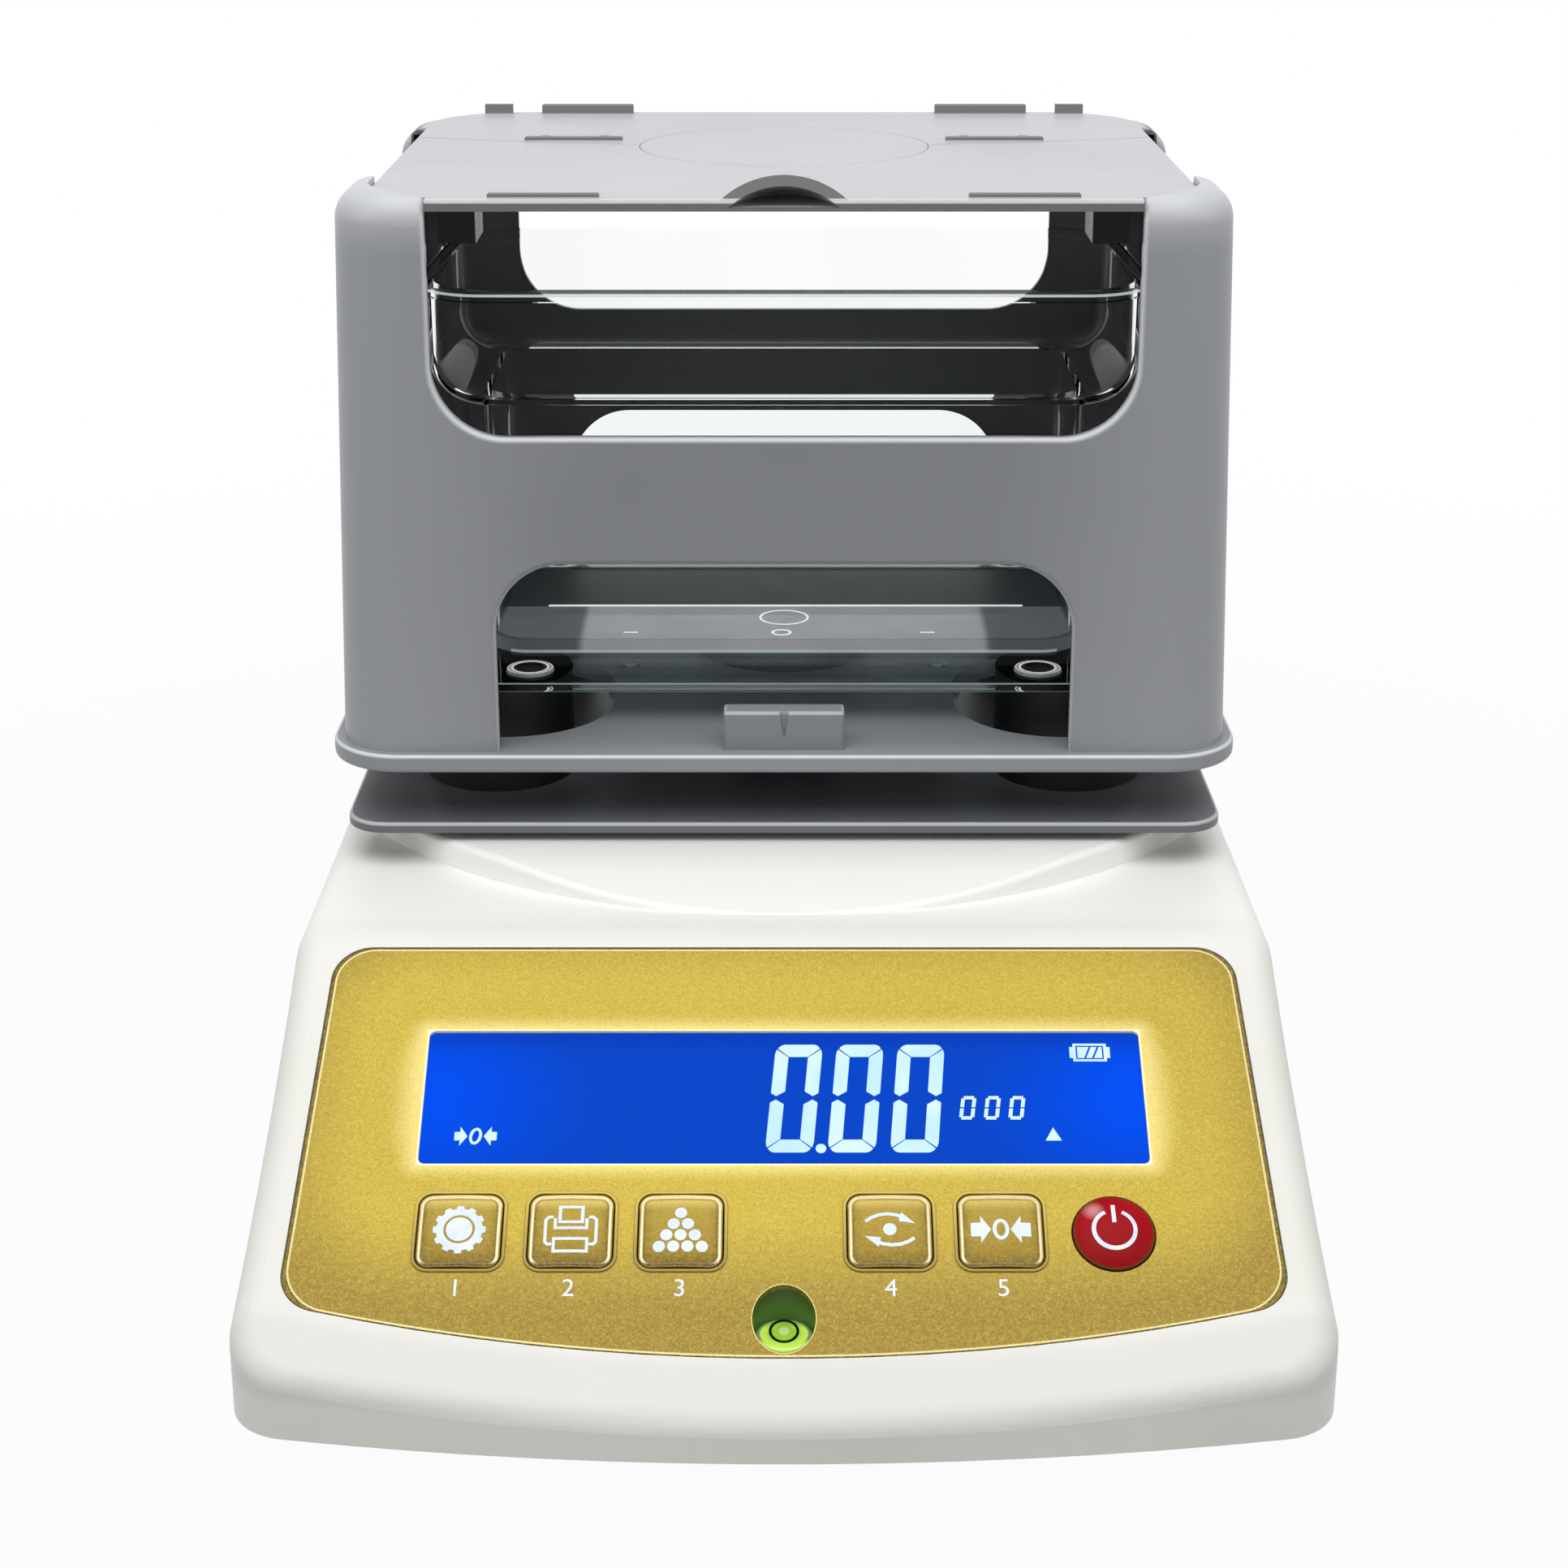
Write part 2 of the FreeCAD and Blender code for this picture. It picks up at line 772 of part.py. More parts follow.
def key_switches():
    top = key_board_top()
    switches = []
    for x, y in key_switch_places():
        half = switch_size / 2
        body = box(x - half, x + half, y - half, y + half, top, top + switch_body)
        plunger = rod(plunger_radius, x, y, top + switch_body, switch_top())
        switches.append(on_panel(body.fuse(plunger).removeSplitter()))
    return group(switches)


def panel_spacers():
    """Posts that carry the key board and the display board under the panel."""
    posts = []
    under = -body_wall
    for sx in (-1, 1):
        x = sx * (key_board_half - board_post_inset / 2)
        for y in (key_row - key_board_height / 2 + board_post_radius + running_gap,):
            posts.append(on_panel(rod(board_post_radius, x, y, key_board_top(), under)))
        x = sx * (display_half + display_board_margin_x - board_post_radius)
        y = display_low + display_height + display_board_margin_y - board_post_radius
        posts.append(on_panel(rod(board_post_radius, x, y, display_board_low() + board_thickness,
                                  under)))
    return group(posts)


def level_vial():
    top = level_z() - level_sink
    vial = rod(level_vial_radius, 0, level_y(), top - level_vial_height, top)
    rim = [e for e in vial.Edges if e.BoundBox.ZMin > top - running_gap]
    return vial.makeFillet(level_vial_radius / 8, rim)


def level_cup():
    """A plug under the vial that closes the sleeve of the housing."""
    top = level_z() - level_sink - level_vial_height
    plug = rod(level_bore_radius - running_gap, 0, level_y(), top, top + level_cup_floor / 2)
    collar = rod(level_bore_radius + level_cup_wall, 0, level_y(), top - level_cup_floor, top)
    well = plug.fuse(collar).removeSplitter()
    return well.cut(rod(level_vial_radius + running_gap, 0, level_y(), top, top + level_cup_floor))


# Feet

def foot_wheel(x, y):
    low = body_z - foot_wheel_gap - foot_wheel_height
    wheel = rod(foot_wheel_radius, x, y, low, low + foot_wheel_height)
    for i in range(foot_notch_count):
        turn = 2 * math.pi * i / foot_notch_count
        wheel = wheel.cut(rod(foot_notch_radius, x + foot_wheel_radius * math.cos(turn),
                              y + foot_wheel_radius * math.sin(turn),
                              low - overrun, low + foot_wheel_height + overrun))
    stud = rod(foot_stud_radius, x, y, low + foot_wheel_height, cover_low_z + foot_stud_length)
    return wheel.fuse(stud).removeSplitter()


def foot_pad(x, y):
    top = body_z - foot_wheel_gap - foot_wheel_height
    pad = rod(foot_pad_radius, x, y, 0, top)
    rim = [e for e in pad.Edges if e.BoundBox.ZMax < running_gap]
    return pad.makeFillet(top / 4, rim)


# Tank bench

def bench_plate():
    y0 = tower_y - bench_overhang
    y1 = tower_back + bench_overhang
    plate = slab(-bench_half_width, bench_half_width, y0, y1, bench_low_z, bench_top_z, bench_corner)
    rims = [e for e in plate.Edges if e.BoundBox.ZMin > bench_top_z - running_gap]
    plate = plate.makeFillet(bench_thickness / 3, rims)
    return plate.cut(rod(bench_hole_radius, 0, middle_y, bench_low_z - overrun, bench_top_z + overrun))


def bench_standoffs():
    return group([rod(standoff_radius, x, y, platform_z, bench_low_z)
                  for x, y in mirrored_places(bench_half_width - standoff_inset_x, standoff_inset_y)])


def mirrored_places(x, inset):
    return [(sx * x, y) for y in (tower_y + inset, tower_back - inset) for sx in (-1, 1)]


def bench_posts():
    posts = []
    for x, y in mirrored_places(post_place_x, post_inset_y):
        posts.append(rod(post_radius, x, y, bench_top_z, shelf_low_z))
    for x, y in mirrored_places(shelf_screw_x, shelf_screw_inset_y):
        bore = rod(shelf_screw_shank, x, y, shelf_low_z - shelf_screw_depth, shelf_low_z + overrun)
        posts = [p.cut(bore) for p in posts]
    return group(posts)


def clear_shelf():
    plate = slab(-shelf_half_width, shelf_half_width, tower_y + shelf_inset_y,
                 tower_back - shelf_inset_y, shelf_low_z, shelf_top_z, shelf_corner)
    for x, y in mirrored_places(shelf_screw_x, shelf_screw_inset_y):
        plate = plate.cut(rod(shelf_screw_shank + fit_gap, x, y, shelf_low_z - overrun,
                              shelf_top_z + overrun))
    return plate


def shelf_screws():
    """Ring-headed screws that hold the clear shelf to the posts."""
    screws = []
    for x, y in mirrored_places(shelf_screw_x, shelf_screw_inset_y):
        head = rod(shelf_screw_radius, x, y, shelf_top_z, shelf_top_z + shelf_screw_rise)
        rim = [e for e in head.Edges if e.BoundBox.ZMin > shelf_top_z + running_gap]
        head = head.makeFillet(shelf_screw_rise / 2, rim)
        head = head.cut(rod(shelf_screw_bore, x, y, shelf_top_z + shelf_screw_rise / 3,
                            shelf_top_z + 2 * shelf_screw_rise))
        shank = rod(shelf_screw_shank, x, y, shelf_low_z - shelf_screw_depth, shelf_top_z)
        screws.append(head.fuse(shank).removeSplitter())
    return group(screws)


def tank_block(inset, z0, z1):
    return slab(-tank_half_width + inset, tank_half_width - inset,
                tower_y + tank_inset_y + inset, tower_back - tank_inset_y - inset,
                z0, z1, tank_corner - inset / 2)


def tank_hall(inset, z0, z1):
    """The wide upper part of the tank, with its lower edge rounded all the way round."""
    block = tank_block(inset, z0, z1)
    low = [e for e in block.Edges if e.BoundBox.ZMax < z0 + running_gap]
    return block.makeFillet(tank_step - tank_step_land - inset, low)


def water_tank():
    """A clear stepped tank: a wide upper part with a round lower edge over a narrower well."""
    step_z = shelf_top_z + tank_step_height
    outside = tank_hall(0, step_z - tank_wall, tank_top_z)
    outside = outside.fuse(tank_block(tank_step, shelf_top_z, step_z))
    outside = outside.fuse(tank_block(-tank_lip, tank_top_z - tank_lip_height, tank_top_z))
    inside = tank_hall(tank_wall, step_z, tank_top_z + overrun)
    inside = inside.fuse(tank_block(tank_step + tank_wall, shelf_top_z + tank_floor, step_z + overrun))
    return outside.cut(inside).removeSplitter()


# Weighing carriage

def tower_half_at(z):
    """Half the tower's width at a height: it widens towards its base."""
    return tower_half_width + (lid_top_z - z) * math.tan(math.radians(tower_draft))


def tower_block(inset, z0, z1):
    wires = []
    for z in (z0, z1):
        half = tower_half_at(z) - inset
        wires.append(rounded_wire(-half, half, tower_y + inset, tower_back - inset, z,
                                  tower_corner - inset))
    return Part.makeLoft(wires, True, True)


def tower_outside():
    """The tower as a solid with a soft top rim, lower in its rear half."""
    reach = tower_half_at(base_top_z) + overrun
    halves = []
    for y0, y1, top in ((tower_y - overrun, middle_y, tower_top_z),
                        (middle_y, tower_back + overrun, tower_rear_z)):
        block = tower_block(0, base_top_z, top)
        rims = [e for e in block.Edges if e.BoundBox.ZMin > top - running_gap]
        block = block.makeFillet(tower_top_round, rims)
        halves.append(block.common(box(-reach, reach, y0, y1, base_top_z, top)))
    return halves[0].fuse(halves[1])


def lid_well():
    """The room of the lids between the caps of the corner walls, and over the back wall."""
    z0 = lid_low_z - running_gap
    z1 = tower_top_z + overrun
    back = box(-tower_rear_cap, tower_rear_cap, tower_back - lid_rear_corner, tower_back + overrun,
               z0, z1)
    return lid_plan(slide_gap, z0, z1).fuse(back)


def window_edges(tower):
    """The bent edges of windows, arches and caps on the tower's outer walls."""
    chosen = []
    for edge in tower.Edges:
        mid = edge.valueAt((edge.FirstParameter + edge.LastParameter) / 2)
        reach = min(abs(mid.y - tower_y), abs(mid.y - tower_back),
                    abs(abs(mid.x) - tower_half_at(mid.z)))
        if reach > running_gap or mid.z < base_top_z + overrun:
            continue
        faces = tower.ancestorsOfType(edge, Part.Face)
        normals = [f.normalAt(*f.Surface.parameter(mid)) for f in faces]
        if abs(normals[0].dot(normals[1])) < bend_share:
            chosen.append(edge)
    return chosen


def tower_frame():
    tower = tower_outside().cut(tower_block(tower_wall, base_top_z - overrun, lid_low_z))
    tower = tower.cut(lid_well())
    top = tower_top_z + 4 * window_round
    low = base_top_z - 4 * arch_round
    window_z = base_top_z + window_low
    arch_z = base_top_z + arch_top
    back_arch_z = arch_z + back_arch_rise
    cut = tower_wall + overrun
    tower = tower.cut(wall_cut(window_half, window_z, top, tower_y - overrun, tower_y + cut,
                               window_round))
    tower = tower.cut(wall_cut(arch_half, low, arch_z, tower_y - overrun, tower_y + cut, arch_round))
    tower = tower.cut(wall_cut(back_window_half, window_z, top, tower_back - cut,
                               tower_back + overrun, window_round))
    tower = tower.cut(wall_cut(back_arch_half, low, back_arch_z, tower_back - cut,
                               tower_back + overrun, arch_round))
    y0 = tower_y + side_window_inset
    y1 = tower_back - side_window_inset
    reach = tower_half_at(base_top_z) + overrun
    tower = tower.cut(side_cut(y0, y1, window_z, top, reach, window_round))
    tower = tower.cut(side_cut(y0, y1, low, arch_z, reach, arch_round))
    tower = tower.removeSplitter().Solids[0]
    return tower.makeFillet(tower_edge_round, window_edges(tower))


def slot_cutter(x, y0):
    length = base_slot_length
    return slab(x - base_slot_half, x + base_slot_half, y0, y0 + length,
                base_low_z - overrun, base_top_z + overrun, base_slot_half - fit_gap / 4)


def carriage_base():
    half = tower_half_at(base_top_z) + base_margin
    plate = slab(-half, half, tower_y - base_margin, tower_back + base_margin,
                 base_low_z, base_top_z, base_corner)
    rims = [e for e in plate.Edges if e.BoundBox.ZMin > base_top_z - running_gap
            or e.BoundBox.ZMax < base_low_z + running_gap]
    plate = plate.makeFillet(base_thickness / 4, rims)
    x = base_slot_inner_x + base_slot_half
    for sx in (-1, 1):
        plate = plate.cut(slot_cutter(sx * x, tower_y + base_slot_front))
        plate = plate.cut(slot_cutter(sx * x, tower_back - base_slot_front - base_slot_length))
    return plate


def pointer_block():
    y0 = tower_y + pointer_setback
    half = pointer_width / 2
    block = box(-half, half, y0, y0 + pointer_depth, base_top_z, base_top_z + pointer_height)
    top = base_top_z + pointer_height
    soft = [e for e in block.Edges if e.BoundBox.ZMax > top - running_gap]
    block = block.makeFillet(pointer_round, soft)
    points = [V(-pointer_notch_half, y0 - overrun, top + overrun),
              V(pointer_notch_half, y0 - overrun, top + overrun),
              V(pointer_notch_half / 2, y0 - overrun, top - pointer_notch_depth / 2),
              V(0, y0 - overrun, top - pointer_notch_depth),
              V(-pointer_notch_half / 2, y0 - overrun, top - pointer_notch_depth / 2)]
    notch = Part.Face(Part.makePolygon(points + points[:1]))
    return block.cut(notch.extrude(V(0, overrun + pointer_notch_cut, 0)))


def hub_post():
    post = rod(hub_radius, 0, middle_y, carrier_top_z, base_low_z)
    flange = rod(hub_flange_radius, 0, middle_y, base_low_z - hub_flange_height, base_low_z)
    hub = post.fuse(flange)
    top = base_low_z
    reach = math.hypot(base_screw_x, base_screw_offset)
    lean = math.degrees(math.atan2(base_screw_offset, base_screw_x))
    for turn in (lean, -lean, 180 - lean, 180 + lean):
        arm = slab(0, reach + arm_width / 2, -arm_width / 2, arm_width / 2,
                   top - arm_thickness, top, arm_width / 2 - fit_gap / 4)
        arm.rotate(V(0, 0, 0), V(0, 0, 1), turn)
        arm.translate(V(0, middle_y, 0))
        hub = hub.fuse(arm)
    return hub.removeSplitter()


def hub_cap():
    top = base_top_z + hub_cap_height
    cap = rod(hub_cap_radius, 0, middle_y, base_top_z, top)
    rim = [e for e in cap.Edges if e.BoundBox.ZMin > top - running_gap]
    return cap.makeFillet(hub_cap_round, rim)


def base_screws():
    """The hub's centre screw and the four screws of its arms, seen on the base."""
    cap_top = base_top_z + hub_cap_height
    screws = [rod(hub_screw_radius, 0, middle_y, cap_top, cap_top + hub_screw_height)]
    for sx in (-1, 1):
        for sy in (-1, 1):
            screws.append(rod(base_screw_radius, sx * base_screw_x, middle_y + sy * base_screw_offset,
                              base_top_z, base_top_z + base_screw_height))
    soft = []
    for screw in screws:
        rim = [e for e in screw.Edges if e.BoundBox.ZMin > screw.BoundBox.ZMax - running_gap]
        soft.append(screw.makeFillet(hub_screw_height / 4, rim))
    return group(soft)


# Lids and air pan

def lid_plan(gap, z0, z1):
    """The outline of both lids: round corners, with a tongue over the front window."""
    half = lid_half_width + gap
    front = tower_y + tower_wall + slide_gap - gap
    plate = box(-half, half, front, tower_back + gap, z0, z1)
    corners = sorted(vertical_edges(plate), key=along)
    plate = plate.makeFillet(lid_rear_corner + gap, corners[2:])
    corners = sorted(vertical_edges(plate), key=along)
    plate = plate.makeFillet(lid_front_corner + gap, corners[:2])
    tongue = window_half - slide_gap + gap
    return plate.fuse(box(-tongue, tongue, tower_y, front + overrun, z0, z1)).removeSplitter()


def seam_side(shift):
    """The region in front of the seam: everything outside a large circle behind it."""
    y = pan_y + shift + lid_seam_radius
    big = box(-tower_half_width, tower_half_width, tower_y - overrun, tower_back + overrun,
              lid_low_z - overrun, lid_top_z + tab_height + overrun)
    disc = Part.makeCylinder(lid_seam_radius, lid_top_z - lid_low_z + tab_height + 2 * overrun,
                             V(0, y, lid_low_z - overrun))
    return big.cut(disc), disc.common(big)


def pan_seat_cut():
    through = rod(pan_radius - pan_ledge, 0, pan_y, lid_low_z - overrun, lid_top_z + overrun)
    seat = rod(pan_radius + fit_gap, 0, pan_y, lid_top_z - pan_thickness, lid_top_z + overrun)
    return through.fuse(seat)


def rail(x, y, height):
    length = rail_outer - rail_inner
    bar = box(x - length / 2, x + length / 2, y - rail_width / 2, y + rail_width / 2,
              lid_top_z, lid_top_z + height)
    top = [e for e in bar.Edges if e.BoundBox.ZMin > lid_top_z + running_gap]
    return bar.makeFillet(rail_width / 5, top)


def rail_middle():
    return (rail_inner + rail_outer) / 2


def hood_radius():
    """Radius of the hood's arch from its width and height."""
    return (hood_width ** 2 / 4 + hood_height ** 2) / (2 * hood_height)


def hood_cylinder(radius):
    """A cylinder that leans down towards the back, so that the hood fades out."""
    lean = math.atan2(hood_height, hood_depth)
    axis = V(0, math.cos(lean), -math.sin(lean))
    drop = hood_radius() / math.cos(lean)
    start = V(0, tower_y, lid_top_z + hood_height - drop) - axis * hood_depth
    return Part.makeCylinder(radius, 3 * hood_depth, start, axis)


def front_lid():
    lid = lid_plan(0, lid_low_z, lid_top_z).common(seam_side(-lid_seam_gap / 2)[0])
    outer = hood_radius()
    keep = box(-hood_width, hood_width, tower_y, tower_y + hood_depth, lid_low_z,
               lid_top_z + hood_height + overrun)
    lid = lid.fuse(hood_cylinder(outer).common(keep))
    lid = lid.cut(hood_cylinder(outer - hood_wall).common(
        box(-hood_width, hood_width, tower_y - overrun, tower_y + hood_depth - hood_wall,
            lid_low_z + hood_floor, lid_top_z + hood_height + overrun)))
    lid = lid.cut(pan_seat_cut())
    y = tower_y + rail_front_inset
    for sx in (-1, 1):
        lid = lid.fuse(rail(sx * rail_middle(), y, rail_height))
    return lid.removeSplitter()


def rear_lid():
    lid = lid_plan(0, lid_low_z, lid_top_z).common(seam_side(lid_seam_gap / 2)[1])
    lid = lid.cut(pan_seat_cut())
    seam_mid = pan_y + lid_seam_radius - math.sqrt(lid_seam_radius ** 2 - rail_middle() ** 2)
    for sx in (-1, 1):
        x = sx * rail_middle()
        lid = lid.fuse(rail(x, seam_mid + rail_middle_gap, rail_height))
        for dx in (-rail_dot_in, rail_dot_in):
            lid = lid.fuse(rod(rail_dot_radius, x + dx, seam_mid + rail_middle_gap + rail_dot_back,
                               lid_top_z, lid_top_z + rail_dot_height))
        lid = lid.fuse(rail(x, tower_back - tab_inset, tab_height))
        small = sorted((sx * small_tab_inner, sx * small_tab_outer))
        lid = lid.fuse(box(small[0], small[1], tower_back - tab_inset - rail_width / 2,
                           tower_back - tab_inset + rail_width / 2, lid_top_z,
                           lid_top_z + tab_height))
    return lid.removeSplitter()


def air_pan():
    pan = rod(pan_radius, 0, pan_y, lid_top_z - pan_thickness, lid_top_z)
    skirt = rod(pan_radius - pan_ledge - slide_gap, 0, pan_y, lid_low_z, lid_top_z - pan_thickness)
    return pan.fuse(skirt).removeSplitter()


def lid_brackets():
    """Four blocks on the tower's corner walls that carry the lids, each with a stay."""
    brackets = []
    wall = tower_wall
    z0 = lid_low_z - bracket_height
    outer = tower_half_at(z0) - tower_corner
    for sy, face in ((1, tower_y + wall), (-1, tower_back - wall)):
        y0, y1 = sorted((face, face + sy * bracket_depth))
        for sx in (-1, 1):
            x0, x1 = sorted((sx * bracket_inner_x, sx * outer))
            block = box(x0, x1, y0, y1, z0, lid_low_z)
            hollow_x = sorted((sx * (bracket_inner_x + bracket_rib),
                               sx * (outer - bracket_rib)))
            hollow_y = sorted((face + sy * bracket_rib, face + sy * (bracket_depth + overrun)))
            block = block.cut(box(hollow_x[0], hollow_x[1], hollow_y[0], hollow_y[1],
                                  z0 - overrun, lid_low_z - bracket_rib))
            inner = V(sx * (bracket_inner_x + bracket_rib + stay_radius), face + sy * bracket_rib / 2,
                      z0 + stay_radius)
            foot = V(sx * (outer - stay_radius),
                     face + sy * bracket_rib / 2, z0 - stay_drop)
            run = foot - inner
            stay = Part.makeCylinder(stay_radius, run.Length, inner, run)
            brackets.append(block.fuse(stay).removeSplitter())
    return group(brackets)


# Load cell and electronics

def load_cell():
    """An aluminium bar with the twin-hole window that bends under load."""
    y0 = middle_y - cell_length / 2
    bar = box(-cell_width / 2, cell_width / 2, y0, y0 + cell_length, cell_low_z, cell_top_z)
    z = (cell_low_z + cell_top_z) / 2
    for sy in (-1, 1):
        bar = bar.cut(Part.makeCylinder(cell_hole_radius, cell_width + 2 * overrun,
                                        V(-cell_width / 2 - overrun, middle_y + sy * cell_hole_spacing / 2,
                                          z), V(1, 0, 0)))
    return bar.cut(box(-cell_width / 2 - overrun, cell_width / 2 + overrun,
                       middle_y - cell_hole_spacing / 2, middle_y + cell_hole_spacing / 2,
                       z - cell_slot_height / 2, z + cell_slot_height / 2))


def cell_block():
    y1 = middle_y + cell_length / 2
    return box(-cell_width / 2, cell_width / 2, y1 - cell_block_length, y1, cover_top_z, cell_low_z)


def cell_screw_rows():
    y = cell_length / 2 - cell_block_length / 2
    return [(sx * cell_screw_spacing / 2, middle_y + y) for sx in (-1, 1)]


def cell_screws():
    return group([rod(cell_screw_head, x, y, cell_top_z, cell_top_z + cell_screw_head_height)
                  for x, y in cell_screw_rows()])


def load_carrier():
    """The plate on the free end of the load cell that brings the load to its middle."""
    y0 = middle_y - cell_length / 2
    spacer = box(-cell_width / 2, cell_width / 2, y0, y0 + cell_block_length, cell_top_z,
                 carrier_low_z)
    plate = slab(-carrier_width / 2, carrier_width / 2, y0, middle_y + hub_radius + carrier_plate,
                 carrier_low_z, carrier_top_z, carrier_plate)
    return spacer.fuse(plate).removeSplitter()


def board_post_places():
    x = main_board_half - board_post_inset
    y0 = front_y + main_board_front
    return [(sx * x, y) for sx in (-1, 1)
            for y in (y0 + board_post_inset, y0 + main_board_depth - board_post_inset)]


def main_board():
    low = cover_top_z + main_board_lift
    y0 = front_y + main_board_front
    return slab(-main_board_half, main_board_half, y0, y0 + main_board_depth, low,
                low + board_thickness, board_post_radius)


def board_parts():
    top = cover_top_z + main_board_lift + board_thickness
    mid = front_y + main_board_front + main_board_depth / 2
    parts = []
    for size, share in zip(chip_sizes, chip_share_places):
        x = share[0] * main_board_half
        y = mid + share[1] * main_board_depth / 2
        parts.append(box(x - size[0] / 2, x + size[0] / 2, y - size[1] / 2, y + size[1] / 2,
                         top, top + size[2]))
    return group(parts)


def battery():
    x0 = -(body_half_width - body_wall - battery_side_gap)
    x1 = -(cell_width / 2 + battery_cell_gap)
    y0 = rear_y - body_wall - battery_rear_gap - battery_length
    case = slab(x0, x1, y0, y0 + battery_length, cover_top_z,
                cover_top_z + battery_height, battery_terminal / 2)
    for share in (0.25, 0.75):
        x = x1 + share * (x0 - x1)
        case = case.fuse(box(x - battery_terminal / 2, x + battery_terminal / 2,
                             y0 + battery_terminal, y0 + 2 * battery_terminal,
                             cover_top_z + battery_height,
                             cover_top_z + battery_height + battery_terminal_height))
    return case.removeSplitter()


def power_inlet():
    z = body_z + socket_height
    back = rear_y + inlet_proud
    barrel = Part.makeCylinder(inlet_radius, inlet_length, V(inlet_x, back - inlet_length, z),
                               V(0, 1, 0))
    flange = Part.makeCylinder(inlet_flange, inlet_proud, V(inlet_x, rear_y, z), V(0, 1, 0))
    barrel = barrel.fuse(flange)
    barrel = barrel.cut(Part.makeCylinder(inlet_bore, inlet_length - inlet_proud,
                                          V(inlet_x, rear_y - inlet_length + 3 * inlet_proud, z),
                                          V(0, 1, 0)))
    pin = Part.makeCylinder(inlet_pin, inlet_length - 3 * inlet_proud,
                            V(inlet_x, rear_y - inlet_length + 2 * inlet_proud, z), V(0, 1, 0))
    return barrel.fuse(pin).removeSplitter()


def data_port():
    z = body_z + socket_height
    back = rear_y + port_proud
    plate = box(port_x - port_width / 2, port_x + port_width / 2, back - port_length, back,
                z - port_height / 2, z + port_height / 2)
    plate = plate.makeFillet(port_round, [e for e in plate.Edges
                                          if e.BoundBox.YLength > port_length - running_gap])
    half_w = port_shell_width / 2
    half_h = port_shell_height / 2
    outer = box(port_x - half_w, port_x + half_w, back, back + port_shell_depth,
                z - half_h, z + half_h)
    wall = port_shell_wall
    inner = box(port_x - half_w + wall, port_x + half_w - wall, back, back + port_shell_depth + overrun,
                z - half_h + wall, z + half_h - wall)
    return plate.fuse(outer.cut(inner)).removeSplitter()


def save(name, shape):
    shape.exportStep("parts/%s.step" % name)
    solids = len(shape.Solids)
    print("%-18s solids %2d volume %10.1f valid %s" % (name, solids, shape.Volume, shape.isValid()))


save("body_shell", body_shell())
save("bottom_cover", bottom_cover())
save("cover_screws", cover_screws())
save("face_overlay", face_overlay())
save("display_lens", display_lens_plate())
save("display_glass", display_glass())
save("display_board", display_board())
save("key_rims", key_rims())
for number, place in enumerate(key_places, 1):
    save("key_%d" % number, square_key(place))
save("power_button", power_button())
save("key_board", key_board())
save("key_switches", key_switches())
save("panel_spacers", panel_spacers())
save("level_vial", level_vial())
save("level_cup", level_cup())
for number, (foot_x, foot_y) in enumerate(foot_places(), 1):
    save("foot_wheel_%d" % number, foot_wheel(foot_x, foot_y))
    save("foot_pad_%d" % number, foot_pad(foot_x, foot_y))
save("bench_plate", bench_plate())
save("bench_standoffs", bench_standoffs())
save("bench_posts", bench_posts())
save("clear_shelf", clear_shelf())
save("shelf_screws", shelf_screws())
save("water_tank", water_tank())
save("carriage_base", carriage_base())
save("tower_frame", tower_frame())
save("pointer_block", pointer_block())
save("hub_post", hub_post())
save("hub_cap", hub_cap())
save("base_screws", base_screws())
save("front_lid", front_lid())
save("rear_lid", rear_lid())
save("air_pan", air_pan())
save("lid_brackets", lid_brackets())
save("load_cell", load_cell())
save("cell_block", cell_block())
save("cell_screws", cell_screws())
save("load_carrier", load_carrier())
save("main_board", main_board())
save("board_parts", board_parts())
save("battery", battery())
save("power_inlet", power_inlet())
save("data_port", data_port())
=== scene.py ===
# %% [markdown]
# # Dressing a benchtop density meter
# The imported CAD model is the frame: it holds every rigid part, in metres, where it belongs.
# This lesson gives each part its finish, adds the small printed and lit things that CAD leaves out,
# and sets up a plain studio. We start by emptying Blender's default scene and loading the frame.

# %% Load the frame
import json
import math

import bmesh
import bpy
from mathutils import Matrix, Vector

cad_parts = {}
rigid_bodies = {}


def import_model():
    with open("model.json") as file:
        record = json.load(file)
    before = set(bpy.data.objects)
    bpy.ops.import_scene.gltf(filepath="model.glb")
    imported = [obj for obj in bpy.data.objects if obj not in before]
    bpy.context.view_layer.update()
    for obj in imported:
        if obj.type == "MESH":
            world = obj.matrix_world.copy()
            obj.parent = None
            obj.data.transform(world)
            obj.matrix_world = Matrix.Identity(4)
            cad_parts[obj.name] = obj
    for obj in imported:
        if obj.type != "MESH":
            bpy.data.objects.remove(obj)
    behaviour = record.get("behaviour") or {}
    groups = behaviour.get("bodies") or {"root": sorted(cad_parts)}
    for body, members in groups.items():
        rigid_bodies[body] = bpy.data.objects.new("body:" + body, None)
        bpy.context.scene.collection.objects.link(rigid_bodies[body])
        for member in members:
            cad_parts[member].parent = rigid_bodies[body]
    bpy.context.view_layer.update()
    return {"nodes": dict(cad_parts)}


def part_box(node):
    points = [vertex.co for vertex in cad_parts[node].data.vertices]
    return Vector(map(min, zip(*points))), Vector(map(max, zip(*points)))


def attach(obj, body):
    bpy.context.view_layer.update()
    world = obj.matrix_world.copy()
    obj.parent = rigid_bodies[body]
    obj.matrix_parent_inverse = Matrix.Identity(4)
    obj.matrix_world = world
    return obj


for leftover in list(bpy.data.objects):
    bpy.data.objects.remove(leftover)
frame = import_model()
scene = bpy.context.scene
nodes = frame["nodes"]
print("CAD nodes:", len(nodes))

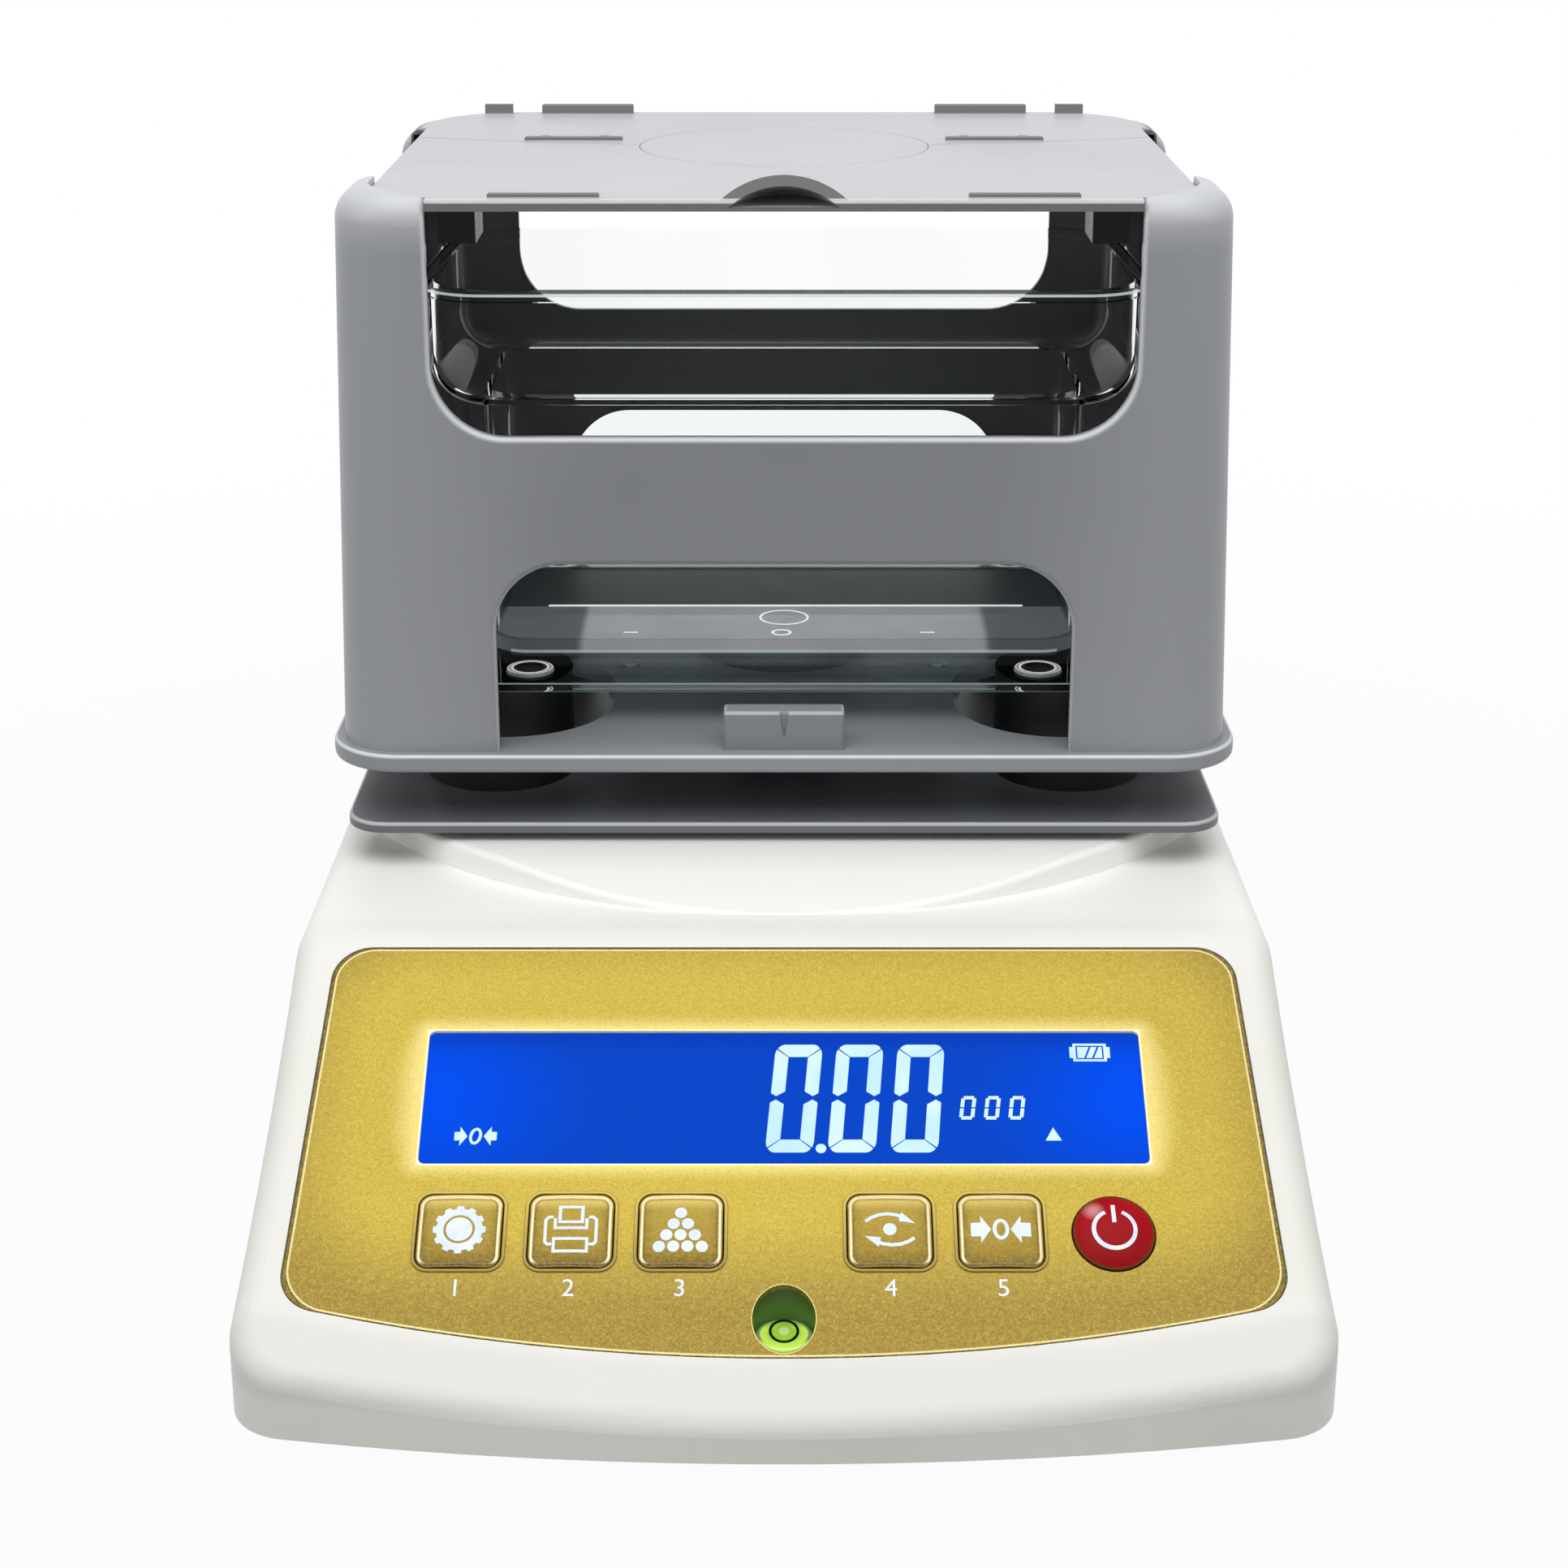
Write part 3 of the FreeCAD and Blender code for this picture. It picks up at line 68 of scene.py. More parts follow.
# %% [markdown]
# Node trees are long when they are written link by link. Two small classes make them read like sums.
# A Value wraps one output socket, and Python's operators on it add Math nodes. A Tree adds any other
# node in one call: its type, its settings, then the values or links of its sockets.
# The same classes serve shader trees and geometry trees, because both know the Math node.

# %% Sums that build nodes
class Value:
    """One output of a node, usable in a Python sum."""

    def __init__(self, tree, socket):
        self.tree = tree
        self.socket = socket

    def maths(self, operation, first, second=0.0):
        return self.tree.node("ShaderNodeMath", {"operation": operation}, {0: first, 1: second})

    def __add__(self, other):
        return self.maths("ADD", self, other)

    def __sub__(self, other):
        return self.maths("SUBTRACT", self, other)

    def __mul__(self, other):
        return self.maths("MULTIPLY", self, other)

    def __truediv__(self, other):
        return self.maths("DIVIDE", self, other)

    def __radd__(self, other):
        return self.maths("ADD", other, self)

    def __rsub__(self, other):
        return self.maths("SUBTRACT", other, self)

    def __rmul__(self, other):
        return self.maths("MULTIPLY", other, self)

    def size(self):
        return self.maths("ABSOLUTE", self)

    def root(self):
        return self.maths("SQRT", self)

    def floor(self):
        return self.maths("FLOOR", self)

    def at_least(self, other):
        return self.maths("MAXIMUM", self, other)

    def at_most(self, other):
        return self.maths("MINIMUM", self, other)

    def above(self, other):
        return self.maths("GREATER_THAN", self, other)

    def fade(self, start, end):
        """0 where the value is at start, 1 where it is at end, with a soft change between."""
        places = {"Value": self, "From Min": start, "From Max": end}
        return self.tree.node("ShaderNodeMapRange", {"interpolation_type": "SMOOTHSTEP"}, places)


class Tree:
    """Adds nodes to a node tree: a type, its settings, then the values or links of its sockets."""

    def __init__(self, node_tree):
        self.node_tree = node_tree

    @staticmethod
    def pick(sockets, key):
        if isinstance(key, int):
            return sockets[key]
        return next(s for s in sockets if s.name == key and s.enabled)

    def node(self, kind, settings=None, sockets=None, output=None):
        made = self.node_tree.nodes.new(kind)
        for key, value in (settings or {}).items():
            setattr(made, key, value)
        for key, value in (sockets or {}).items():
            self.feed(self.pick(made.inputs, key), value)
        shown = [s for s in made.outputs if s.enabled]
        if output is not None:
            return Value(self, self.pick(made.outputs, output))
        return Value(self, shown[0]) if shown else made

    def feed(self, socket, value):
        if isinstance(value, Value):
            self.node_tree.links.new(value.socket, socket)
        else:
            socket.default_value = value


def ink(code):
    """A colour written as on a screen, such as 'c9ad45', in the linear values that shaders want."""
    parts = [int(code[k:k + 2], 16) / 255 for k in (0, 2, 4)]
    line = [c / 12.92 if c <= 0.04045 else ((c + 0.055) / 1.055) ** 2.4 for c in parts]
    return (*line, 1.0)


print("white paper is", ink("ffffff"))

# %% [markdown]
# Every finish is a Principled shader on Object coordinates. Each part's object sits at the origin,
# so Object coordinates are the part's own metres, and a grain of 0.3 mm is a noise of scale 3000.
# What is the same all over a part is set on the shader's own sockets. What varies is linked.

# %% One class for finishes
class Finish(Tree):
    """One material: a Principled shader, its Object coordinates and a few tools for patterns."""

    def __init__(self, name, **fixed):
        self.material = bpy.data.materials.new(name)
        self.material.use_nodes = True
        super().__init__(self.material.node_tree)
        self.node_tree.nodes.clear()
        self.shader = self.node_tree.nodes.new("ShaderNodeBsdfPrincipled")
        self.result = self.node_tree.nodes.new("ShaderNodeOutputMaterial")
        self.node_tree.links.new(self.shader.outputs[0], self.result.inputs["Surface"])
        self.place = self.node("ShaderNodeTexCoord", output="Object")
        for key, value in fixed.items():
            self.shader.inputs[key.replace("_", " ")].default_value = value

    def noise(self, scale, detail=2.0, stretch=(1, 1, 1)):
        """Cloudy noise around a half; stretch draws it out along an axis."""
        place = self.node("ShaderNodeMapping", {}, {"Vector": self.place, "Scale": stretch})
        return self.node("ShaderNodeTexNoise", {}, {"Vector": place, "Scale": scale, "Detail": detail})

    def cells(self, scale, output="Distance"):
        return self.node("ShaderNodeTexVoronoi", {}, {"Vector": self.place, "Scale": scale}, output)

    def axes(self):
        """The X, Y and Z of the place, each as a Value."""
        return [self.node("ShaderNodeSeparateXYZ", {}, {0: self.place}, axis) for axis in "XYZ"]

    def mixed(self, mask, low, high):
        """One colour where the mask is 0, another where it is 1."""
        return self.node("ShaderNodeMix", {"data_type": "RGBA"}, {"Factor": mask, "A": low, "B": high})

    def paint(self, **linked):
        for key, value in linked.items():
            self.feed(self.shader.inputs[key.replace("_", " ")], value)
        return self

    def add_skin(self, mask, cloud, shades, lit):
        """Lay a cloudy skin over the shader where the mask is above 0. lit is how much it glows."""
        skin = self.node_tree.nodes.new("ShaderNodeBsdfPrincipled")
        skin.inputs["Roughness"].default_value = 0.5
        skin.inputs["Emission Strength"].default_value = lit
        colour = self.mixed(cloud, ink(shades[0]), ink(shades[1]))
        self.feed(skin.inputs["Base Color"], colour)
        self.feed(skin.inputs["Emission Color"], colour)
        under = Value(self, self.result.inputs["Surface"].links[0].from_socket)
        both = self.node("ShaderNodeMixShader", {}, {0: mask, 1: under, 2: Value(self, skin.outputs[0])})
        self.node_tree.links.new(both.socket, self.result.inputs["Surface"])

    def bump(self, height, strength, distance):
        sockets = {"Strength": strength, "Distance": distance, "Height": height}
        return self.paint(Normal=self.node("ShaderNodeBump", {}, sockets))


MM = 0.001
print("grain of 0.3 mm:", 1 / (0.3 * MM))

# %% [markdown]
# The housing, the tower and the lids are moulded plastic. A mould's surface is spark-eroded, so the
# plastic carries a fine matt grain and faint clouds of gloss, and nothing on it is quite one colour.
# One recipe makes all of these: the shade, the grain's size and the gloss are what differ.

# %% Moulded plastics
def moulded(name, shade, cloud, grain_mm=0.35, gloss=0.42, relief=0.18, tone=None, **fixed):
    """Plastic with spark-eroded grain. cloud is the shade of its faint darker patches.

    tone can be a function that changes the colour from place to place.
    """
    made = Finish(name, **fixed)
    patches = made.noise(14, 3.0)
    grain = made.noise(1 / (grain_mm * MM), 1.0)
    rub = made.noise(60, 4.0, (1, 1, 0.4))
    colour = made.mixed(patches.fade(0.35, 0.75), ink(shade), ink(cloud))
    made.paint(Base_Color=tone(made, colour) if tone else colour)
    made.paint(Roughness=gloss + (rub - 0.5) * 0.14 + (grain - 0.5) * 0.06)
    return made.bump(grain + rub * 0.3, relief, 0.05 * MM)


tower_grey = moulded("tower grey moulding", "909398", "8a8d92", gloss=0.42)
lid_grey = moulded("lid grey moulding", "c0c2c6", "babcc0", gloss=0.4)
bench_grey = moulded("bench grey moulding", "6c6f74", "66696e", gloss=0.4)
post_black = moulded("black post moulding", "141517", "1b1c1f", 0.5, 0.45, Specular_IOR_Level=0.25)
part_black = moulded("black component", "1b1b1d", "252527", 0.25, 0.45)
foot_black = moulded("black foot moulding", "202123", "2b2c2e", 0.6, 0.5, 0.3)
# The level's cup is olive: painted shade tinted by the spirit's green light.
cup_olive_shade = moulded("level cup moulding", "566628", "4c5b22", 0.4, 0.4)
pad_rubber = moulded("pad rubber", "2a2a2b", "363636", 0.8, 0.82, 0.5)
print("plain mouldings made")

# %% [markdown]
# The housing is one moulding, yet it isn't painted one tone. Painted light makes it whitest on the deck
# behind the panel, and painted shade makes it a little duller on the border in front of it, which bows
# with the panel's lower edge. The shaft over the bullseye level is part of it too, and the green of the
# level shines up into that shaft as painted green light, with painted shade higher up. So a tone function
# mixes the colour from place to place, with masks made of sums.

# %% The housing's painted light and shade
vial_low, vial_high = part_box("level_vial")
vial_middle = (vial_low + vial_high) / 2
SHAFT_WALL = 6.3
PANEL_FOOT_Y = -133 * MM
BORDER_BOW = 0.9
BORDER_FOOT_Z = 12 * MM
DECK_FRONT_Y = -58 * MM


def off_level(made):
    """How far a place lies from the upright axis of the bullseye level, in millimetres."""
    x, y, _ = made.axes()
    return (x * x + (y - vial_middle.y) * (y - vial_middle.y)).root() / MM


def housing_tone(made, colour):
    """Painted light behind the panel, painted shade on the front border, painted green light and shade in
    the shaft of the level.
    """
    x, y, z = made.axes()
    below_panel = 1 - (y - x * x * BORDER_BOW).fade(PANEL_FOOT_Y - 2 * MM, PANEL_FOOT_Y + 2 * MM)
    # Painted shade on the front border, and painted light on the deck behind the panel.
    border = below_panel * z.fade(BORDER_FOOT_Z, BORDER_FOOT_Z + 3 * MM)
    colour = made.mixed(border, colour, ink("dedcd7"))
    colour = made.mixed(y.fade(DECK_FRONT_Y, DECK_FRONT_Y + 20 * MM), colour, ink("f6f5f1"))
    # Painted green light in the level's shaft, darker higher up and greyer on its front side.
    deep = z.fade(vial_high.z - 1 * MM, vial_high.z + 7 * MM)
    shaft = made.mixed(deep, ink("5d8a34"), ink("36451c"))
    shaft = made.mixed(1 - (y - vial_middle.y).fade(-4 * MM, 2 * MM), shaft, ink("7a8f72"))
    return made.mixed(1 - off_level(made).fade(SHAFT_WALL, SHAFT_WALL + 0.3), colour, shaft)


housing_white = moulded("warm white moulding", "e9e8e2", "e3e2db", tone=housing_tone)
print("level stands at", vial_middle)

# %% [markdown]
# The tower frame is grey outside, and painted shade makes it nearly black inside, where its inner faces
# lie in shade. Painted highlights stand for the light its rounded window rims catch. One distance sum
# serves both: how far a place lies beyond an outline with round corners. Used across the plan it tells how
# deep a place is under the outer face, and used across a wall it tells how near a place is to a window.

# %% Outlines with round corners
def beyond_outline(first, second, half_first, half_second, corner):
    """How far a place lies outside a rounded rectangle round nought; inside it is negative."""
    from_first = first.size() - (half_first - corner)
    from_second = second.size() - (half_second - corner)
    out_first, out_second = from_first.at_least(0), from_second.at_least(0)
    outside = (out_first * out_first + out_second * out_second).root()
    return outside + from_first.at_least(from_second).at_most(0) - corner


def edge_light(made, colour, edge, strength=0.7):
    """Pale the colour where edge, a Value from 0 to 1, says that a rounded edge catches light."""
    return made.mixed(edge * strength, colour, ink("eceef0"))


# %% The tower's painted shade and highlights
TOWER_CORNER = 14 * MM
TOWER_DRAFT = math.radians(1.8)
TOWER_WINDOW_HALF = 74 * MM
TOWER_WINDOW_CORNER = 15.5 * MM
TOWER_ARCH_HALF = 62.2 * MM
TOWER_ARCH_CORNER = 15 * MM
EDGE_ROUND = 1.2 * MM
tower_low, tower_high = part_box("tower_frame")
tower_middle = (tower_low + tower_high) / 2
WINDOW_LOW = tower_low.z + 70.1 * MM
ARCH_TOP = tower_low.z + 42.3 * MM


def under_tower_face(made):
    """How deep a place lies under the tower's outer face, in metres."""
    x, y, z = made.axes()
    half_deep = (tower_high.y - tower_low.y) / 2
    half_wide = tower_high.x - (z - tower_low.z) * math.tan(TOWER_DRAFT)
    return 0 - beyond_outline(x, y - tower_middle.y, half_wide, half_deep, TOWER_CORNER)


def opening_rims(made, along):
    """1 on the rounded rims of the front wall's window and arch. along is the place along the wall."""
    _, _, z = made.axes()
    tall = 200 * MM
    window = beyond_outline(along, z - (WINDOW_LOW + tall), TOWER_WINDOW_HALF, tall, TOWER_WINDOW_CORNER)
    arch = beyond_outline(along, z - (ARCH_TOP - tall), TOWER_ARCH_HALF, tall, TOWER_ARCH_CORNER)
    window_rim = 1 - window.fade(0.2 * MM, EDGE_ROUND)
    arch_rim = 1 - arch.fade(0.0, 0.7 * MM)
    return window_rim, arch_rim * 0.6


def tower_tone(made, colour):
    """Painted shade nearly black inside, painted highlights to the sides, round the top and on the rims of
    the openings.
    """
    x, y, z = made.axes()
    deep = under_tower_face(made)
    front = 1 - (y - tower_low.y).fade(2.2 * MM, 3.2 * MM)
    window_rim, arch_rim = opening_rims(made, x)
    rims = window_rim.at_least(arch_rim) * front * (1 - deep.fade(0.9 * MM, 1.4 * MM))
    # Painted highlights to the sides, round the top and on the rims, and painted shade on the inner faces.
    top = z.fade(tower_high.z - 14 * MM, tower_high.z)
    sides = x.size().fade(35 * MM, 96 * MM)
    colour = made.mixed(sides, colour, ink("9a9da2"))
    colour = made.mixed(top * 0.75, colour, ink("d3d5d9"))
    colour = edge_light(made, colour, rims)
    below_top = 1 - z.fade(tower_high.z - 3 * MM, tower_high.z - 2 * MM)
    return made.mixed(deep.fade(2.2 * MM, 2.6 * MM) * below_top, colour, ink("303236"))


tower_shell = moulded("tower shell moulding", "878a8f", "818489", gloss=0.38, tone=tower_tone)
print("tower is", round((tower_high.z - tower_low.z) / MM, 1), "mm high")

# %% [markdown]
# The plates under the tower, the pointer and the lids take their light on an upper edge in the same
# way, so one function paints such a highlight for any plate, sized by the plate's own box. The base
# plate is also painted in shade where the tower and the clear shelf cover it, the lids' rails are darker
# than their faces, and the hub cap under the shelf is a deep blue with a lit rim.

# %% Plates, lids and the hub
BASE_CORNER = 16.4 * MM
BENCH_CORNER = 9 * MM
POINTER_CORNER = 0.8 * MM
LID_TOP = tower_high.z - 1.4 * MM
CLIP_X = 71.2 * MM
ARCH_INSIDE_X = 62 * MM
SHADE_FRONT_Y = 5 * MM
SHADE_BACK_Y = 27 * MM


def plate_tone(name, corner, paled=0.7):
    """A painted highlight for a flat plate: its upper outer edge is pale."""
    low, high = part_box(name)
    middle = (low + high) / 2

    def tone(made, colour):
        x, y, z = made.axes()
        half = (high - low) / 2
        out = beyond_outline(x - middle.x, y - middle.y, half.x, half.y, corner)
        edge = out.fade(-0.9 * MM, -0.4 * MM) * z.fade(high.z - 0.9 * MM, high.z - 0.4 * MM)
        return edge_light(made, colour, edge, paled)
    return tone


def lid_tone(made, colour):
    """Darker rails and hood, a painted highlight along the front edge and painted shade on the face under
    it.
    """
    x, y, z = made.axes()
    front_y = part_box("front_lid")[0].y
    raised = z.fade(LID_TOP + 0.15 * MM, LID_TOP + 0.4 * MM)
    softer = (1 - x.size().fade(20 * MM, 24 * MM)).at_least(y.fade(95 * MM, 105 * MM))
    shade = made.mixed(softer, ink("4a4b4a"), ink("5f605f"))
    front = 1 - y.fade(front_y + 0.5 * MM, front_y + 0.9 * MM)
    upper = z.fade(LID_TOP - 0.9 * MM, LID_TOP - 0.5 * MM)
    # Painted shade on the lid's front face, and a painted highlight along its top edge.
    colour = made.mixed(front * (1 - upper), colour, ink("6d6c6a"))
    colour = edge_light(made, colour, front * upper, 1.0)
    return made.mixed(raised * 0.85, colour, shade)


def bracket_tone(made, colour):
    """The inner end of each bracket is a black clip."""
    x, _, _ = made.axes()
    return made.mixed(1 - x.size().fade(CLIP_X, CLIP_X + 0.5 * MM), colour, ink("060607"))


def base_tone(made, colour):
    """The base plate lies in shade inside the tower, deepest under the shelf's front edge."""
    x, y, _ = made.axes()
    inside = 1 - x.size().fade(ARCH_INSIDE_X, ARCH_INSIDE_X + 6 * MM)
    past_shelf_edge = y.fade(SHADE_BACK_Y, SHADE_BACK_Y + 8 * MM)
    under = y.fade(SHADE_FRONT_Y, SHADE_FRONT_Y + 14 * MM) * (1 - past_shelf_edge * 0.6)
    colour = plate_tone("carriage_base", BASE_CORNER)(made, colour)
    return made.mixed(inside * under * 0.85, colour, ink("202325"))


def hub_tone(made, colour):
    """The hub cap's rounded rim catches a little blue light."""
    x, y, z = made.axes()
    _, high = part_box("hub_cap")
    off = (x * x + (y - tower_middle.y) * (y - tower_middle.y)).root()
    rim = off.fade(high.x - 1.6 * MM, high.x - 1.0 * MM) * z.fade(high.z - 1.2 * MM, high.z - 0.5 * MM)
    return made.mixed(rim * 0.6, colour, ink("4a6688"))


lid_shell = moulded("lid shell moulding", "c0c2c6", "babcc0", gloss=0.4, tone=lid_tone)
base_shell = moulded("base plate moulding", "909398", "8a8d92", tone=base_tone)
bench_shell = moulded("bench plate moulding", "66696e", "606368", gloss=0.4,
                      tone=plate_tone("bench_plate", BENCH_CORNER, 0.5))
pointer_shell = moulded("pointer moulding", "84878c", "7f8287",
                        tone=plate_tone("pointer_block", POINTER_CORNER, 0.4))
bracket_grey = moulded("bracket moulding", "1f2123", "1b1c1e", gloss=0.35, tone=bracket_tone,
                       Specular_IOR_Level=0.15)
hub_blue = moulded("hub blue moulding", "0c162c", "0a1224", 0.5, 0.28, 0.1, hub_tone,
                   Specular_IOR_Level=0.3)
print("plates, lids and hub toned")

# %% [markdown]
# Metals differ by how they were worked. A turned hub has fine rings, and a milled bar has fine lines
# along the cut. Noise that is stretched along one axis gives those lines. The four screws that hold
# the clear shelf have ring heads: two rings with painted highlights round a socket in painted shade, all
# glowing a little, told by the distance from the nearest screw.

# %% Metals
def worked_metal(name, shade, worn, gloss, along=(1, 1, 1), scale=900, relief=0.1, **fixed):
    """Bare metal with tool lines drawn out along an axis."""
    made = Finish(name, Metallic=1.0, **fixed)
    lines = made.noise(scale, 3.0, along)
    stains = made.noise(45, 4.0)
    made.paint(Base_Color=made.mixed(stains.fade(0.4, 0.8), ink(shade), ink(worn)))
    made.paint(Roughness=gloss + (lines - 0.5) * 0.16 + (stains - 0.5) * 0.08)
    return made.bump(lines, relief, 0.02 * MM)


SHELF_SCREW_X = 57.7 * MM
SHELF_SCREW_FROM_MIDDLE = 43.45 * MM


def ring_screw_metal():
    """Rings with painted highlights round a groove, socket and side in painted shade, glowing a little,
    measured from the nearest of the four screws.
    """
    made = Finish("ring screw metal", Metallic=0.3, Specular_IOR_Level=0.2, Emission_Strength=0.4)
    x, y, _ = made.axes()
    off_x = x.size() - SHELF_SCREW_X
    off_y = (y - tower_middle.y).size() - SHELF_SCREW_FROM_MIDDLE
    off = (off_x * off_x + off_y * off_y).root()
    # Painted shade in the groove, the socket and down the side; the rest carries painted highlights, which
    # glow.
    groove_shade = off.fade(4.45 * MM, 4.55 * MM) * (1 - off.fade(4.75 * MM, 4.85 * MM))
    socket = 1 - off.fade(3.75 * MM, 3.85 * MM)
    side = off.fade(5.08 * MM, 5.14 * MM) * 0.8
    grain = made.noise(1800, 2.0)
    shade = made.mixed(groove_shade.at_least(socket.at_least(side)), ink("f4f5f6"), ink("08090a"))
    made.paint(Base_Color=made.mixed(grain * 0.15, shade, ink("8f9296")), Emission_Color=shade)
    made.paint(Roughness=0.25 + grain * 0.1)
    return made.bump(grain, 0.08, 0.02 * MM)


ring_chrome = ring_screw_metal()
screw_steel = worked_metal("screw steel", "b9bcc0", "a4a7ac", 0.28, scale=1500)
hub_metal = worked_metal("turned hub metal", "aeb1b6", "9da0a5", 0.3, (1, 1, 8))
cell_metal = worked_metal("milled cell metal", "c6c9cd", "b7babf", 0.32, (1, 0.05, 1), 2500, 0.2)
print("metal finishes made")

# %% [markdown]
# The gold faceplate is a printed film: gold ink with a fine metallic sparkle under an orange-peel
# surface. The backlight of the display shines into the film, so a pale halo surrounds the window.
# The halo is a distance sum: how far a place on the slope is from the window's rectangle.
# The panel leans back, so the height up the slope comes from Y and Z turned by the slope's angle.
# Another such sum, from the plate's own bowed outline, draws the painted highlight along its edge and the
# painted shade on the edge itself.

# %% Places on the sloping panel
SLOPE = math.radians(31.6)
DATUM = Vector((0.0, -0.1044206, 0.0375034))
ACROSS = Vector((1, 0, 0))
UP_SLOPE = Vector((0, math.cos(SLOPE), math.sin(SLOPE)))
OUT = Vector((0, -math.sin(SLOPE), math.cos(SLOPE)))
FACE = -0.2
GLASS = -1.05
WINDOW_HALF = 71.9
WINDOW_MIDDLE = 24.3
WINDOW_HALF_HEIGHT = 15.3
FACE_TOP = 60.0
FACE_LOW = 32.6
FACE_LOW_HALF = 96.2
FACE_LEAN = 0.04
FACE_BOW_RADIUS = 416.0
FACE_CORNER = 8.0


def panel_point(x, s, n):
    """The model place of a panel place: x across, s up the slope, n out of it, in millimetres."""
    return DATUM + (ACROSS * x + UP_SLOPE * s + OUT * n) * MM


def slope_axes(made):
    """Across and up-slope places as Values, in millimetres."""
    x, y, z = made.axes()
    up = (y - DATUM.y) * (UP_SLOPE.y / MM) + (z - DATUM.z) * (UP_SLOPE.z / MM)
    return x / MM, up


def past_faceplate(made):
    """Millimetres beyond the faceplate's outline, which bows out below; inside it is negative."""
    across, up = slope_axes(made)
    from_centre = up - (FACE_BOW_RADIUS - FACE_LOW)
    below = (across * across + from_centre * from_centre).root() - FACE_BOW_RADIUS
    half = FACE_LOW_HALF - (up + FACE_LOW) * FACE_LEAN
    return beyond_outline(across, below.at_least(up - FACE_TOP) + FACE_TOP, half, FACE_TOP, FACE_CORNER)


def window_distance(made):
    """Millimetres from the display window's edge, 0 inside it."""
    across, up = slope_axes(made)
    out_x = (across.size() - WINDOW_HALF).at_least(0)
    out_s = ((up - WINDOW_MIDDLE).size() - WINDOW_HALF_HEIGHT).at_least(0)
    return (out_x * out_x + out_s * out_s).root()


def from_spot(across, up, spot):
    """Millimetres along the slope from a place on the panel."""
    off_x, off_s = across - spot[0], up - spot[1]
    return (off_x * off_x + off_s * off_s).root()


print("panel datum:", panel_point(0, 0, 0))

# %% Gold film on the faceplate
LEVEL_HOLE = 6.0


def gold_film(shades, sparkle, gloss):
    """Gold ink with metallic flakes in an orange-peel surface. shades is a Value of the ink."""
    made = shades.tree
    flakes = made.noise(2600, 2.0)
    peel = made.noise(1100, 2.0)
    drift = made.noise(9, 2.0)
    gold = made.mixed(drift.fade(0.35, 0.8) * 0.2, shades, ink("8f7529"))
    gold = made.mixed(peel.fade(0.35, 0.75) * 0.16, gold, ink(sparkle))
    gold = made.mixed((1 - flakes).fade(0.45, 0.75) * 0.3, gold, ink("7d6822"))
    made.paint(Base_Color=made.mixed(flakes.fade(0.45, 0.75) * 0.3, gold, ink(sparkle)))
    made.paint(Roughness=gloss + (flakes - 0.5) * 0.1)
    return made.bump(peel + flakes * 0.4, 0.2, 0.04 * MM)


def faceplate_film():
    """Painted shade towards the plate's ends and lower part, pale where the display's light reaches it,
    with painted highlights and shade at the window, the plate's edge and the level's hole.
    """
    made = Finish("gold film", Metallic=0.3, Specular_IOR_Level=0.25, Emission_Strength=0.2)
    away = window_distance(made)
    across, up = slope_axes(made)
    rim_shade = away.fade(10, 34).at_least((0 - up).fade(2, 28)) + across.fade(40, 95) * 0.12
    shades = made.mixed(rim_shade.at_most(1), ink("b8a139"), ink("88722a"))
    past_end = (across.size() - WINDOW_HALF).fade(-3, 3)
    lamp_side = past_end * (1 - (up - WINDOW_MIDDLE).size().fade(6, 20))
    halo = 1 - (away / (5.5 + lamp_side * 4.5)).fade(0, 1)
    glow = halo * halo * (0.6 + lamp_side * 0.1)
    shades = made.mixed(glow, shades, ink("e6d98c"))
    # A painted highlight along the window's rim.
    shades = made.mixed((1 - away.fade(0.3, 0.6)) * 0.9, shades, ink("f7f3cf"))
    out = past_faceplate(made)
    # A painted highlight along the plate's rounded edge, and painted shade on the edge itself.
    shades = made.mixed(out.fade(-0.8, -0.6) * 0.8, shades, ink("efe4ae"))
    shades = made.mixed(out.fade(-0.4, -0.25), shades, ink("57491c"))
    off = off_level(made)
    # A painted highlight round the level's hole, and green-tinted painted shade on the hole's wall.
    shades = made.mixed((1 - off.fade(LEVEL_HOLE + 0.15, LEVEL_HOLE + 0.25)) * 0.8, shades, ink("e6d894"))
    shades = made.mixed(1 - off.fade(LEVEL_HOLE + 0.01, LEVEL_HOLE + 0.05), shades, ink("4d5622"))
    made.paint(Emission_Color=made.mixed(glow, ink("000000"), ink("e8dea6")))
    return gold_film(shades, "dcc464", 0.5)


faceplate_gold = faceplate_film()
print("faceplate filmed")

# %% [markdown]
# The keys are crowned and carry the same gold. Painted light from above makes their upper edge bright and
# painted shade darkens the lower one, and a thin painted highlight runs round the face, dark below and
# with a groove of painted shade inside it. As all five keys stand in one row, the distance across from the
# nearest of them is enough to place all of this at once. The power button is a red dome with painted shade
# down its slope, a small painted gleam and a dark foot.

# %% Gold keys and the red button
KEY_ROW = -6.0
KEY_X = {1: -62.6, 2: -41.1, 3: -19.9, 4: 20.4, 5: 41.8}
KEY_HALF_WIDE = 8.05
KEY_HALF_HIGH = 7.75
KEY_CORNER = 2.5
POWER_PLACE = (63.6, -6.5)
POWER_GLEAM = (59.8, -2.2)
POWER_FOOT = 7.4


def from_nearest_key(across):
    """Millimetres across from the middle of the nearest square key."""
    nearest = (across - KEY_X[1]).size()
    for place in list(KEY_X.values())[1:]:
        nearest = nearest.at_most((across - place).size())
    return nearest


